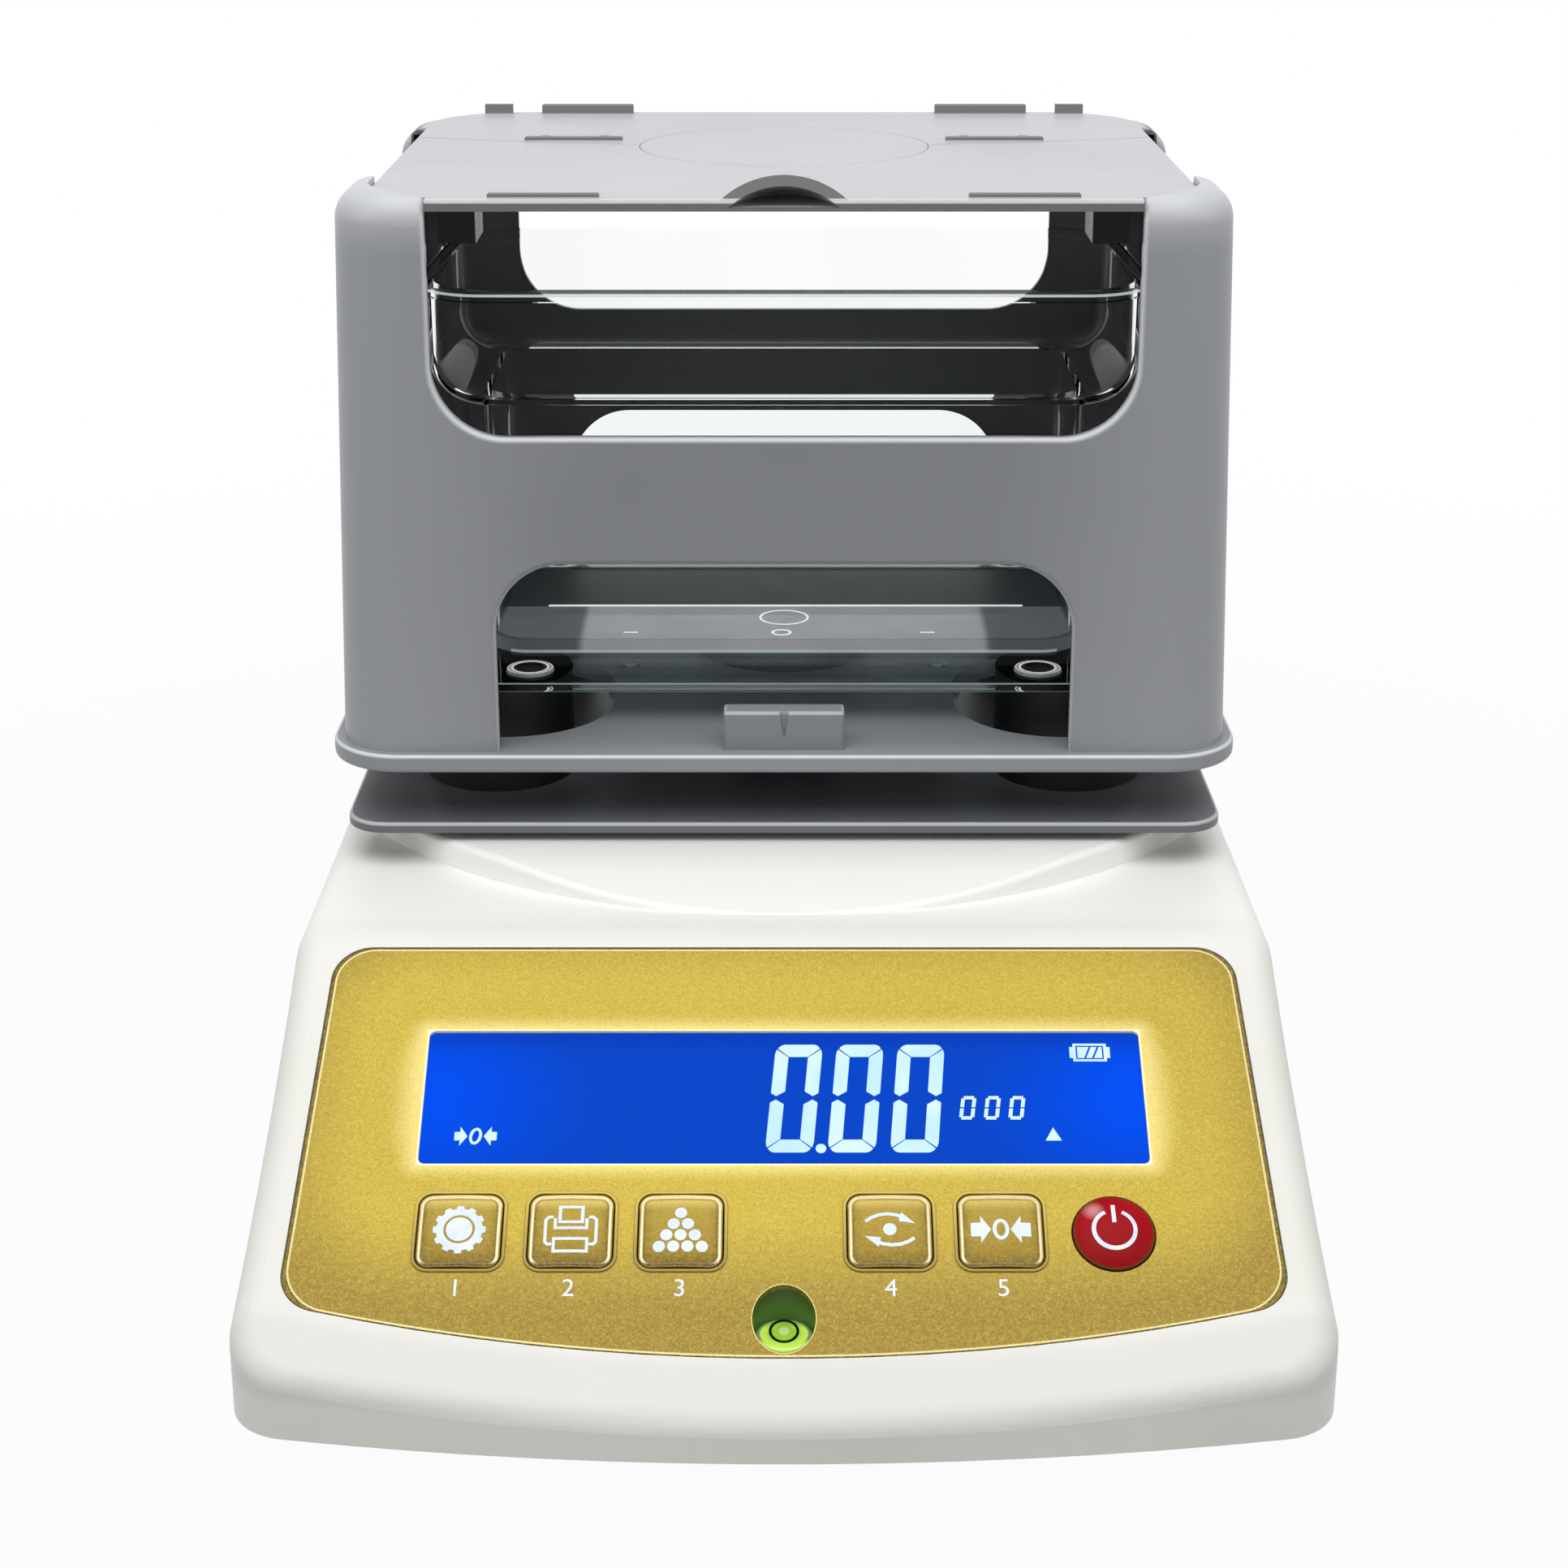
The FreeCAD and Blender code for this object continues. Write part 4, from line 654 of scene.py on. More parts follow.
def key_film():
    """The crowned keys: painted highlight above, painted shade on the other sides, with a painted
    highlight line round them.
    """
    made = Finish("gold key", Metallic=0.25, Specular_IOR_Level=0.15)
    across, up = slope_axes(made)
    rise = up - KEY_ROW
    near = from_nearest_key(across)
    out = beyond_outline(near, rise, KEY_HALF_WIDE, KEY_HALF_HIGH, KEY_CORNER)
    low = (0 - rise).fade(3.6, 7.0)
    high = rise.fade(4.0, 6.9)
    # Painted light up the key and on its upper edge, painted shade towards its sides and lower edge.
    shades = made.mixed(rise.fade(-9, 9), ink("836d24"), ink("a89038"))
    shades = made.mixed(near.fade(4.8, 7.6) * 0.5, shades, ink("665219"))
    shades = made.mixed(low * 0.75, shades, ink("634f18"))
    shades = made.mixed(high * 0.75, shades, ink("dfca78"))
    # A groove of painted shade, and a thin line round the face: painted highlight above, painted shade
    # below.
    groove_shade = out.fade(-1.4, -1.15) * (1 - out.fade(-0.95, -0.8))
    shades = made.mixed(groove_shade * 0.5, shades, ink("5a4716"))
    frame_highlight_line = out.fade(-0.85, -0.72) * (1 - out.fade(-0.35, -0.2))
    frame_highlight_and_shade = made.mixed(rise.fade(-7.3, -6.2), ink("3c3328"), ink("e9e0be"))
    shades = made.mixed(frame_highlight_line, shades, frame_highlight_and_shade)
    return gold_film(shades, "c4aa50", 0.42)


def key_trim_metal():
    """The low frames round the keys, gold like the film: lit above, in shade below."""
    made = Finish("gold key trim", Metallic=0.4, Roughness=0.4)
    _, up = slope_axes(made)
    turn = (up - KEY_ROW).fade(-8.6, 8.6)
    shades = made.mixed(turn, ink("7d6826"), ink("ac953c"))
    grain = made.noise(900, 2.0)
    made.paint(Base_Color=made.mixed(grain * 0.25, shades, ink("b39c46")))
    return made.bump(grain, 0.1, 0.02 * MM)


def power_tone(made, colour):
    """Painted shade deeper red down the slope, a dark foot, and a small soft painted gleam up on the left.
    """
    across, up = slope_axes(made)
    gleam = 1 - from_spot(across, up, POWER_GLEAM).fade(0.2, 2.6)
    foot = from_spot(across, up, POWER_PLACE).fade(POWER_FOOT, POWER_FOOT + 0.15)
    colour = made.mixed((up - POWER_PLACE[1]).fade(-8, 6), ink("92060d"), colour)
    colour = made.mixed(foot * 0.8, colour, ink("5a3c18"))
    return made.mixed(gleam * 0.4, colour, ink("ffd6d8"))


key_gold = key_film()
key_trim = key_trim_metal()
power_red = moulded("power button red", "ae0c17", "a00914", 0.6, 0.32, 0.06, power_tone,
                    Specular_IOR_Level=0.08)
print("keys and button finished")

# %% [markdown]
# The display is a blue backlit panel. Its lamps sit at the two short ends, so the blue is brighter
# there. It lights itself, so the colour is an emission and the base stays nearly black.

# %% The lit display
def lit_blue():
    """Blue light, brighter near the lamps at the two ends, and a little deeper at the top."""
    made = Finish("lit blue panel", Roughness=0.5, Specular_IOR_Level=0.0, Emission_Strength=1.0)
    across, up = slope_axes(made)
    from_end = WINDOW_HALF - across.size()
    from_lamp = (from_end * from_end * 0.6 + (up - WINDOW_MIDDLE) * (up - WINDOW_MIDDLE)).root()
    lamp = 1 - from_lamp.fade(0, 30)
    shade = made.mixed(lamp, ink("0848cc"), ink("0050f8"))
    edge = made.mixed((up - WINDOW_MIDDLE).fade(9, 15.5) * 0.5, shade, ink("0636b0"))
    made.paint(Emission_Color=made.mixed(made.noise(40, 2.0) * 0.12, edge, ink("0838b4")))
    made.paint(Base_Color=made.mixed(lamp, ink("01030e"), ink("02081c")))
    return made


display_blue = lit_blue()
print("display lit")

# %% [markdown]
# The tank, the shelf and the display's lens are clear. Plain glass would mirror the white studio and
# hide what is behind it, so the refraction is kept low, and what the eye reads as the edges of clear
# plastic is laid on as thin skins of painted light and shade: a painted highlight and a painted dark line
# along the rim, a lit line along the shelf's front edge, and a frosted strip on the front of the tank's
# floor that glows a little.
# A skin is a second shader, mixed in by a mask. The level's vial is green spirit with a little painted
# glow in a clear wall.

# %% Clear plastic and the level's spirit
shelf_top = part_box("clear_shelf")[1].z
TANK_FLOOR = shelf_top + 3.0 * MM
TANK_FOOT_Y = 31.0 * MM
TANK_CORNER = 15.6 * MM
FROST_BACK = 57.1 * MM
FROST_END_X = 46 * MM
VIAL_WALL = 4.5


def clear_plastic(name, tint, gloss, grain, bend):
    """See-through moulding with faint flow lines. bend is its refraction, kept low for few mirrors."""
    made = Finish(name, Transmission_Weight=1.0, IOR=bend)
    flow = made.noise(30, 2.0, (1, 1, 0.3))
    made.paint(Base_Color=made.mixed(flow, ink(tint), ink("ffffff")))
    made.paint(Roughness=gloss + (flow - 0.5) * 0.03)
    return made.bump(flow, grain, 0.2 * MM)


def tank_plastic():
    """The tank's clear moulding: a frosted strip on the floor that glows a little, painted shade at its
    ends and behind it, a lit foot and a rim lined in front with a painted dark line and a painted
    highlight.
    """
    made = clear_plastic("tank moulding", "f3f6f6", 0.015, 0.03, 1.045)
    x, y, z = made.axes()
    low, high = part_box("water_tank")
    cloud = made.noise(55, 3.0, (1, 2, 1))
    floor = 1 - z.fade(TANK_FLOOR + 0.1 * MM, TANK_FLOOR + 0.3 * MM)
    past = y.fade(FROST_BACK - 0.2 * MM, FROST_BACK + 0.2 * MM)
    ends = x.size().fade(FROST_END_X, FROST_END_X + 3 * MM)
    # The frosted strip glows a little; painted shade darkens its ends and the floor behind it.
    made.add_skin(floor * (1 - past) * (1 - ends) * 0.66, cloud, ("a2a4a7", "bcbdc0"), 0.36)
    made.add_skin(floor * (1 - past) * ends * 0.66, cloud, ("5c6165", "74797d"), 0.3)
    made.add_skin(floor * past * 0.8, cloud, ("1b1f22", "2c3134"), 0.2)
    # A painted highlight along the tank's foot.
    foot = 1 - z.fade(shelf_top + 0.6 * MM, shelf_top + 0.8 * MM)
    foot = foot * (1 - y.fade(TANK_FOOT_Y, TANK_FOOT_Y + 0.2 * MM))
    made.add_skin(foot * 0.6, cloud, ("a9bfbd", "c3d2d0"), 0.5)
    deep = 0 - beyond_outline(x, y - tower_middle.y, high.x, (high.y - low.y) / 2, TANK_CORNER)
    lip = (1 - deep.fade(0.3 * MM, 0.5 * MM)) * (1 - y.fade(50 * MM, 80 * MM))
    below = (high.z - z) / MM
    # A painted dark line and a painted highlight line along the rim.
    rim_shade_line = 1 - below.fade(0.4, 0.5)
    rim_highlight_line = below.fade(0.5, 0.6) * (1 - below.fade(1.1, 1.2))
    made.add_skin(lip * rim_shade_line * 0.85, cloud, ("1c2123", "2b3133"), 0.05)
    made.add_skin(lip * rim_highlight_line * 0.8, cloud, ("dce3e3", "f0f4f4"), 0.5)
    return made


def shelf_plastic():
    """The shelf's clear sheet, with lit lines along its front edge, which is in painted shade."""
    made = clear_plastic("shelf sheet", "cfe3e0", 0.015, 0.02, 1.15)
    _, y, z = made.axes()
    low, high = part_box("clear_shelf")
    cloud = made.noise(30, 2.0)
    front = 1 - y.fade(low.y + 0.2 * MM, low.y + 0.4 * MM)
    top = z.fade(high.z - 0.3 * MM, high.z - 0.15 * MM)
    bottom = 1 - z.fade(low.z + 0.15 * MM, low.z + 0.3 * MM)
    # Painted highlights on the front edge's top and bottom lines, then painted shade over the whole front
    # edge.
    made.add_skin(front * top.at_least(bottom * 0.3) * 0.9, cloud, ("a9bcbb", "c2d0cf"), 0.6)
    made.add_skin(front * 0.5, cloud, ("0c1517", "142224"), 0.1)
    return made


def spirit_green():
    """Bright spirit with a little painted glow, paler to the rim and in painted shade at the back, in a
    clear wall.
    """
    made = Finish("level spirit", IOR=1.4, Roughness=0.08, Coat_Weight=1.0, Emission_Strength=0.25)
    _, y, _ = made.axes()
    off = off_level(made)
    shade = made.mixed(off.fade(2.2, 4.2), ink("94c432"), ink("c2e656"))
    # Painted shade at the back of the vial.
    shade = made.mixed((y - vial_middle.y).fade(1.6 * MM, 4.4 * MM) * 0.85, shade, ink("5c8a2c"))
    clear_wall = off.fade(VIAL_WALL, VIAL_WALL + 0.2) * (y - vial_middle.y).fade(-3.5 * MM, -1.5 * MM)
    shade = made.mixed(clear_wall, shade, ink("6f8468"))
    made.paint(Base_Color=made.mixed(made.noise(300, 2.0) * 0.3, shade, ink("8cc424")))
    return made.paint(Emission_Color=shade)


display_clear = clear_plastic("display lens", "fbfdff", 0.02, 0.01, 1.03)
tank_clear = tank_plastic()
sheet_clear = shelf_plastic()
vial_green = spirit_green()
print("clear finishes made")

# %% [markdown]
# The circuit boards and the battery are inside, yet the model can be taken apart, so they get their
# own finishes: green solder mask over a net of copper tracks, and a wrapped cell with a seam.

# %% Boards and battery
def solder_mask():
    """Green varnish over copper tracks, with bare pads."""
    made = Finish("green solder mask", Roughness=0.35, Coat_Weight=0.3)
    tracks = made.node("ShaderNodeTexBrick", {"offset": 0.37}, {
        "Vector": made.place, "Scale": 140.0, "Mortar Size": 0.04,
        "Brick Width": 0.9, "Row Height": 0.24}, "Fac")
    pads = 1 - made.cells(420).fade(0.1, 0.22)
    board = made.mixed(tracks * 0.7, ink("0f5a34"), ink("2c8a55"))
    made.paint(Base_Color=made.mixed(pads * (1 - tracks) * 0.5, board, ink("b6a768")))
    return made.bump(tracks + pads * 0.5, 0.4, 0.05 * MM)


def battery_wrap():
    """A dark wrap with a seam band round its middle height."""
    made = Finish("battery wrap", Roughness=0.38)
    _, _, z = made.axes()
    band = (z - 0.03).size().fade(7.0 * MM, 7.4 * MM)
    made.paint(Base_Color=made.mixed(band, ink("3c4a66"), ink("1d2026")))
    return made.bump(made.noise(700, 2.0), 0.2, 0.04 * MM)


board_green = solder_mask()
battery_dark = battery_wrap()
print("inner finishes made")

# %% [markdown]
# Each CAD node arrives with the record's slot names on it. A table from slot to finish dresses
# the whole frame in one loop, and the meshes stay as they are.

# %% Dress the CAD nodes
FINISH_OF_SLOT = {
    "housing_white": housing_white, "faceplate_gold": faceplate_gold,
    "display_clear": display_clear, "display_blue": display_blue,
    "key_gold": key_gold, "rim_chrome": key_trim, "power_red": power_red,
    "board_green": board_green, "part_black": part_black, "vial_green": vial_green,
    "frame_grey": tower_grey, "lid_grey": lid_grey, "bench_grey": bench_grey,
    "post_black": post_black, "clear_sheet": sheet_clear, "tank_clear": tank_clear,
    "screw_chrome": ring_chrome, "screw_steel": screw_steel, "hub_blue": hub_blue,
    "hub_metal": hub_metal, "cell_metal": cell_metal, "battery_black": battery_dark,
    "foot_black": foot_black, "foot_rubber": pad_rubber,
}
FINISH_OF_NODE = {
    "tower_frame": tower_shell, "lid_brackets": bracket_grey, "carriage_base": base_shell,
    "bench_plate": bench_shell, "pointer_block": pointer_shell, "front_lid": lid_shell,
    "rear_lid": lid_shell, "level_cup": cup_olive_shade,
}
for name, node in nodes.items():
    for held in node.material_slots:
        finish = FINISH_OF_NODE.get(name) or FINISH_OF_SLOT[held.material.name.split(".")[0]]
        held.material = finish.material
print("slots dressed:", sum(len(node.material_slots) for node in nodes.values()))

# %% [markdown]
# Printed signs are thin flat shapes with holes in them. A filled 2D curve does the cutting out:
# each closed outline is a spline, and an outline inside another becomes a hole. Turned into a mesh,
# the plate is sliced into small squares, so that it can be laid over a crowned key without
# dipping into it, and only then is it put in its place.

# %% Cutting signs out of sheet
def cut_sheet(outlines, thickness):
    """A closed bmesh plate with these outlines, in millimetres, standing on n = 0."""
    curve = bpy.data.curves.new("sign_outline", "CURVE")
    curve.dimensions = "2D"
    curve.fill_mode = "BOTH"
    curve.extrude = thickness / 2
    for outline in outlines:
        spline = curve.splines.new("POLY")
        spline.points.add(len(outline) - 1)
        for point, (x, s) in zip(spline.points, outline):
            point.co = (x, s, 0, 1)
        spline.use_cyclic_u = True
    holder = bpy.data.objects.new("sign_outline", curve)
    scene.collection.objects.link(holder)
    mesh = bpy.data.meshes.new_from_object(holder.evaluated_get(bpy.context.evaluated_depsgraph_get()))
    plate = bmesh.new()
    plate.from_mesh(mesh)
    bpy.data.objects.remove(holder)
    bmesh.ops.translate(plate, verts=plate.verts, vec=(0, 0, thickness / 2))
    bmesh.ops.remove_doubles(plate, verts=plate.verts, dist=0.001)
    return plate


def slice_plate(plate, step):
    """Cut the plate along a square net, so that no face is wider than step."""
    for axis in (Vector((1, 0, 0)), Vector((0, 1, 0))):
        reach = [v.co.dot(axis) for v in plate.verts]
        for k in range(math.ceil(min(reach) / step), math.ceil(max(reach) / step)):
            every = plate.verts[:] + plate.edges[:] + plate.faces[:]
            bmesh.ops.bisect_plane(plate, geom=every, plane_co=axis * (k * step), plane_no=axis)


def keep(name, mesh, finish, body):
    """Link a finished mesh as a piece that rides on a body."""
    piece = bpy.data.objects.new(name, mesh)
    scene.collection.objects.link(piece)
    if finish is not None:
        mesh.materials.clear()
        mesh.materials.append(finish.material)
    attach(piece, body)
    return piece


def lay_sign(name, shapes, centre, lift, thickness, finish, body, crown=None):
    """Signs on the panel. shapes is a list of outline lists; crown is (radius, top height)."""
    joined = bmesh.new()
    for outlines in shapes:
        plate = cut_sheet(outlines, thickness)
        if crown:
            slice_plate(plate, 1.5)
        for v in plate.verts:
            x, s, n = v.co
            level = lift
            if crown:
                radius, top = crown
                level = top - radius + math.sqrt(radius ** 2 - x ** 2 - s ** 2) + lift
            v.co = panel_point(centre[0] + x, centre[1] + s, level + n)
        bmesh.ops.recalc_face_normals(plate, faces=plate.faces)
        part = bpy.data.meshes.new("sign_part")
        plate.to_mesh(part)
        joined.from_mesh(part)
        bpy.data.meshes.remove(part)
    mesh = bpy.data.meshes.new(name)
    joined.to_mesh(mesh)
    return keep(name, mesh, finish, body)


print("sign tools ready")

# %% [markdown]
# Most outlines are built from three drawing aids: a circle, a box and a stroke, which is a line
# given a width, with mitred corners as a pen with a square nib would leave.

# %% Drawing aids
def circle(radius, x=0.0, s=0.0, count=32):
    turn = 2 * math.pi / count
    return [(x + radius * math.cos(k * turn), s + radius * math.sin(k * turn)) for k in range(count)]


def rectangle(x0, x1, s0, s1):
    return [(x0, s0), (x1, s0), (x1, s1), (x0, s1)]


def mirrored(outline):
    return [(-x, s) for x, s in reversed(outline)]


def turned(outline):
    return [(-x, -s) for x, s in outline]


def stroke(points, width):
    """The outline of an open line drawn with a pen of this width."""
    left, right = [], []
    for k, here in enumerate(points):
        here = Vector(here)
        ways = []
        if k > 0:
            ways.append((here - Vector(points[k - 1])).normalized())
        if k < len(points) - 1:
            ways.append((Vector(points[k + 1]) - here).normalized())
        way = sum(ways, Vector((0, 0))).normalized()
        side = Vector((-way.y, way.x))
        reach = width / 2 / max(way.dot(ways[0]), 0.3)
        left.append(tuple(here + side * reach))
        right.append(tuple(here - side * reach))
    return left + right[::-1]


def arc(radius, start, end, count=24, x=0.0, s=0.0):
    """Points of an arc, from one angle to another in degrees, 0 at the right and 90 at the top."""
    turns = [math.radians(start + (end - start) * k / count) for k in range(count + 1)]
    return [(x + radius * math.cos(t), s + radius * math.sin(t)) for t in turns]


print("a stroke 2 mm wide:", stroke([(0, 0), (10, 0)], 2))

# %% [markdown]
# The signs on the keys are pale ink on a crowned face. They are a gear wheel, a printer, a heap of
# balls, two circling arrows and two arrows that meet at a nought. Each rides on its own key, so it
# moves when the key is pressed. A key's top is part of a ball of 60 mm radius, 0.7 mm proud.

# %% Signs on the keys
# The pale sign ink glows a little: painted light.
sign_white = Finish("pale sign ink", Roughness=0.4, Emission_Strength=0.1)
haze = sign_white.noise(260, 3.0)
sign_white.paint(Base_Color=sign_white.mixed(haze.fade(0.3, 0.8), ink("dee7ef"), ink("cddaea")))
sign_white.paint(Emission_Color=sign_white.mixed(haze, ink("e6f0ff"), ink("cfe0ff")))
sign_white.bump(sign_white.noise(2400, 1.0), 0.1, 0.02 * MM)
KEY_CROWN = (60.0, 0.7)
SIGN_LIFT = -0.02
SIGN_DEEP = 0.1


def key_sign(number, name, shapes):
    centre = (KEY_X[number], KEY_ROW)
    return lay_sign(name, shapes, centre, SIGN_LIFT, SIGN_DEEP, sign_white, f"key_{number}",
                    KEY_CROWN)


def gear_outline(teeth, tip, root):
    """The outside of a gear wheel with square teeth."""
    points = []
    for k in range(teeth):
        middle = 360 / teeth * k + 90
        points += arc(root, middle - 20, middle - 9, 4)
        points += arc(tip, middle - 7, middle + 7, 3)
    return points


def arrow(tail, neck, tip, half_shaft, half_head):
    """An arrow that points along X, with its head from neck to tip."""
    return [(tail, -half_shaft), (neck, -half_shaft), (neck, -half_head), (tip, 0),
            (neck, half_head), (neck, half_shaft), (tail, half_shaft)]


key_sign(1, "sign_gear", [[gear_outline(12, 5.1, 4.5), circle(3.05, count=40)], [circle(2.55, count=40)]])
printer_body = [(-3.4, 2.7), (-4.3, 2.7), (-4.9, 2.1), (-4.9, -2.6), (-4.4, -3.1), (-3.6, -3.1)]
printer_collar = [(-3.05, 2.4), (-3.05, 0.3), (3.05, 0.3), (3.05, 2.4)]
key_sign(2, "sign_printer", [
    [rectangle(-2.5, 2.5, 1.3, 5.2), rectangle(-1.85, 1.85, 1.9, 4.6)],
    [stroke(printer_collar, 0.6)],
    [stroke(printer_body, 0.6)],
    [mirrored(stroke(printer_body, 0.6))],
    [rectangle(-3.5, 3.5, -4.9, -1.7), rectangle(-2.9, 2.9, -4.3, -2.3)],
])
sweep = stroke([(-4.7, 1.75), (-3.6, 2.55), (-2.1, 3.15), (-0.4, 3.35), (1.4, 3.1), (2.9, 2.4)], 0.7)
barb = [(2.2, 3.75), (4.9, 1.35), (1.75, 1.75)]
key_sign(4, "sign_cycle", [[sweep], [barb], [turned(sweep)], [turned(barb)], [circle(1.3)]])
meeting = arrow(-5.8, -3.9, -1.9, 1.47, 2.95)
oval = [(x * 1.6, s * 2.25) for x, s in circle(1.0)]
oval_hole = [(x * 0.85, s * 1.5) for x, s in circle(1.0)]
key_sign(5, "sign_zero", [[meeting], [mirrored(meeting)], [oval, oval_hole]])
print("four key signs cut")

# %% [markdown]
# The heap of balls repeats one disc ten times, in rows of one to four. That is work for Geometry
# Nodes: points on a square net, those to the right of the diagonal removed, and a disc on each.
# The named inputs hold the sizes. The tree ends in Realize Instances and Set Material, and the
# result is turned into a plain mesh, because instances don't survive the export.

# %% A tree that stacks discs
def geometry_tree(name, inputs):
    """An empty Geometry Nodes tree with number inputs, and the Tree that fills it."""
    group = bpy.data.node_groups.new(name, "GeometryNodeTree")
    group.interface.new_socket("Geometry", in_out="OUTPUT", socket_type="NodeSocketGeometry")
    for label, kind in inputs.items():
        group.interface.new_socket(label, in_out="INPUT", socket_type=kind)
    tree = Tree(group)
    entry = group.nodes.new("NodeGroupInput")
    held = {s.name: Value(tree, s) for s in entry.outputs if s.name in inputs}
    return group, tree, held


def close_tree(group, tree, instances):
    """Make the instances real, give them the input material and send them out."""
    real = tree.node("GeometryNodeRealizeInstances", {}, {"Geometry": instances})
    entry = next(n for n in group.nodes if n.bl_idname == "NodeGroupInput")
    material = Value(tree, entry.outputs["Finish"])
    dressed = tree.node("GeometryNodeSetMaterial", {}, {"Geometry": real, "Material": material})
    leave = group.nodes.new("NodeGroupOutput")
    group.links.new(dressed.socket, leave.inputs[0])


def grow(group, values):
    """Run a tree on an empty mesh with these inputs, and return the plain mesh it makes."""
    holder = bpy.data.objects.new("grower", bpy.data.meshes.new("grower"))
    scene.collection.objects.link(holder)
    modifier = holder.modifiers.new("grow", "NODES")
    modifier.node_group = group
    for item in group.interface.items_tree:
        if item.in_out == "INPUT" and item.name in values:
            modifier[item.identifier] = values[item.name]
    graph = bpy.context.evaluated_depsgraph_get()
    mesh = bpy.data.meshes.new_from_object(holder.evaluated_get(graph), depsgraph=graph)
    bpy.data.objects.remove(holder)
    return mesh


FLOAT, WHOLE, STUFF = "NodeSocketFloat", "NodeSocketInt", "NodeSocketMaterial"
heap, heap_tree, size = geometry_tree("heap of balls", {
    "Rows": WHOLE, "Pitch": FLOAT, "Ball Radius": FLOAT, "Thickness": FLOAT, "Finish": STUFF})
net = heap_tree.node("GeometryNodeMeshGrid", {}, {
    "Size X": 1.0, "Size Y": 1.0, "Vertices X": size["Rows"], "Vertices Y": size["Rows"]}, "Mesh")
index = heap_tree.node("GeometryNodeInputIndex")
row = (index / size["Rows"] + 0.001).floor()
column = index - row * size["Rows"]
x = (column - row * 0.5) * size["Pitch"]
y = ((size["Rows"] - 1) * 0.5 - row) * size["Pitch"] * 0.87
spot = heap_tree.node("ShaderNodeCombineXYZ", {}, {"X": x, "Y": y})
moved = heap_tree.node("GeometryNodeSetPosition", {}, {"Geometry": net, "Position": spot})
triangle = heap_tree.node("GeometryNodeDeleteGeometry", {}, {
    "Geometry": moved, "Selection": column.above(row)})
disc = heap_tree.node("GeometryNodeMeshCylinder", {}, {
    "Vertices": 28, "Radius": size["Ball Radius"], "Depth": size["Thickness"]}, "Mesh")
close_tree(heap, heap_tree, heap_tree.node("GeometryNodeInstanceOnPoints", {}, {
    "Points": triangle, "Instance": disc}))
print("heap tree has", len(heap.nodes), "nodes")

# %% Grow the heap on the third key
def on_crown(mesh, centre, crown, lift):
    """Lay a flat millimetre mesh over a key's crowned face."""
    radius, top = crown
    for v in mesh.vertices:
        x, s, n = v.co
        level = top - radius + math.sqrt(radius ** 2 - x ** 2 - s ** 2) + lift
        v.co = panel_point(centre[0] + x, centre[1] + s, level + n)


heap_mesh = grow(heap, {"Rows": 4, "Pitch": 2.75, "Ball Radius": 1.18, "Thickness": SIGN_DEEP,
                        "Finish": sign_white.material})
heap_mesh.name = "sign_heap"
on_crown(heap_mesh, (KEY_X[3], KEY_ROW), KEY_CROWN, SIGN_LIFT + SIGN_DEEP / 2)
keep("sign_heap", heap_mesh, None, "key_3")
print("balls:", len(heap_mesh.polygons))

# %% [markdown]
# The power sign is the standard one: a broken ring with a bar in the gap. Its button is part of a
# ball of 18 mm radius, so the sign is laid over that.

# %% Power sign
POWER_CROWN = (18.0, 2.03)
power_ring = stroke(arc(4.0, 114, 426, 60), 0.8)
power_bar = stroke([(0, 1.3), (0, 5.4)], 0.8)
lay_sign("sign_power", [[power_ring], [power_bar]], POWER_PLACE, SIGN_LIFT, 0.12,
         sign_white, "power_button", POWER_CROWN)
print("power sign laid")

# %% [markdown]
# A plain number under each key tells the keys apart. A text object gives the figure its shape,
# becomes a mesh at once, and is then laid on the film in the same way as a sign.

# %% Numbers under the keys
def number_mesh(text, height, thickness):
    """A number as a thin closed mesh in millimetres."""
    words = bpy.data.curves.new("figure", "FONT")
    words.body = text
    words.size = height / 0.7
    words.extrude = thickness / 2
    words.align_x = "CENTER"
    words.align_y = "CENTER"
    holder = bpy.data.objects.new("figure", words)
    scene.collection.objects.link(holder)
    mesh = bpy.data.meshes.new_from_object(holder.evaluated_get(bpy.context.evaluated_depsgraph_get()))
    bpy.data.objects.remove(holder)
    shape = bmesh.new()
    shape.from_mesh(mesh)
    bmesh.ops.remove_doubles(shape, verts=shape.verts, dist=0.001)
    bmesh.ops.recalc_face_normals(shape, faces=shape.faces)
    shape.to_mesh(mesh)
    return mesh


NUMBER_ROW = -18.2
for number, across in KEY_X.items():
    figure = number_mesh(str(number), 3.6, 0.06)
    for v in figure.vertices:
        v.co = panel_point(across + v.co.x, NUMBER_ROW + v.co.y, FACE + 0.02 + v.co.z)
    keep(f"caption_{number}", figure, sign_white, "balance")
print("numbers laid")

# %% [markdown]
# The big figures are seven-segment noughts, slanted a little. The bars are drawn once for a single
# figure, with the hair lines between them that a real display shows. A second tree then repeats the
# figure along a line, with the count and the pitch as inputs.

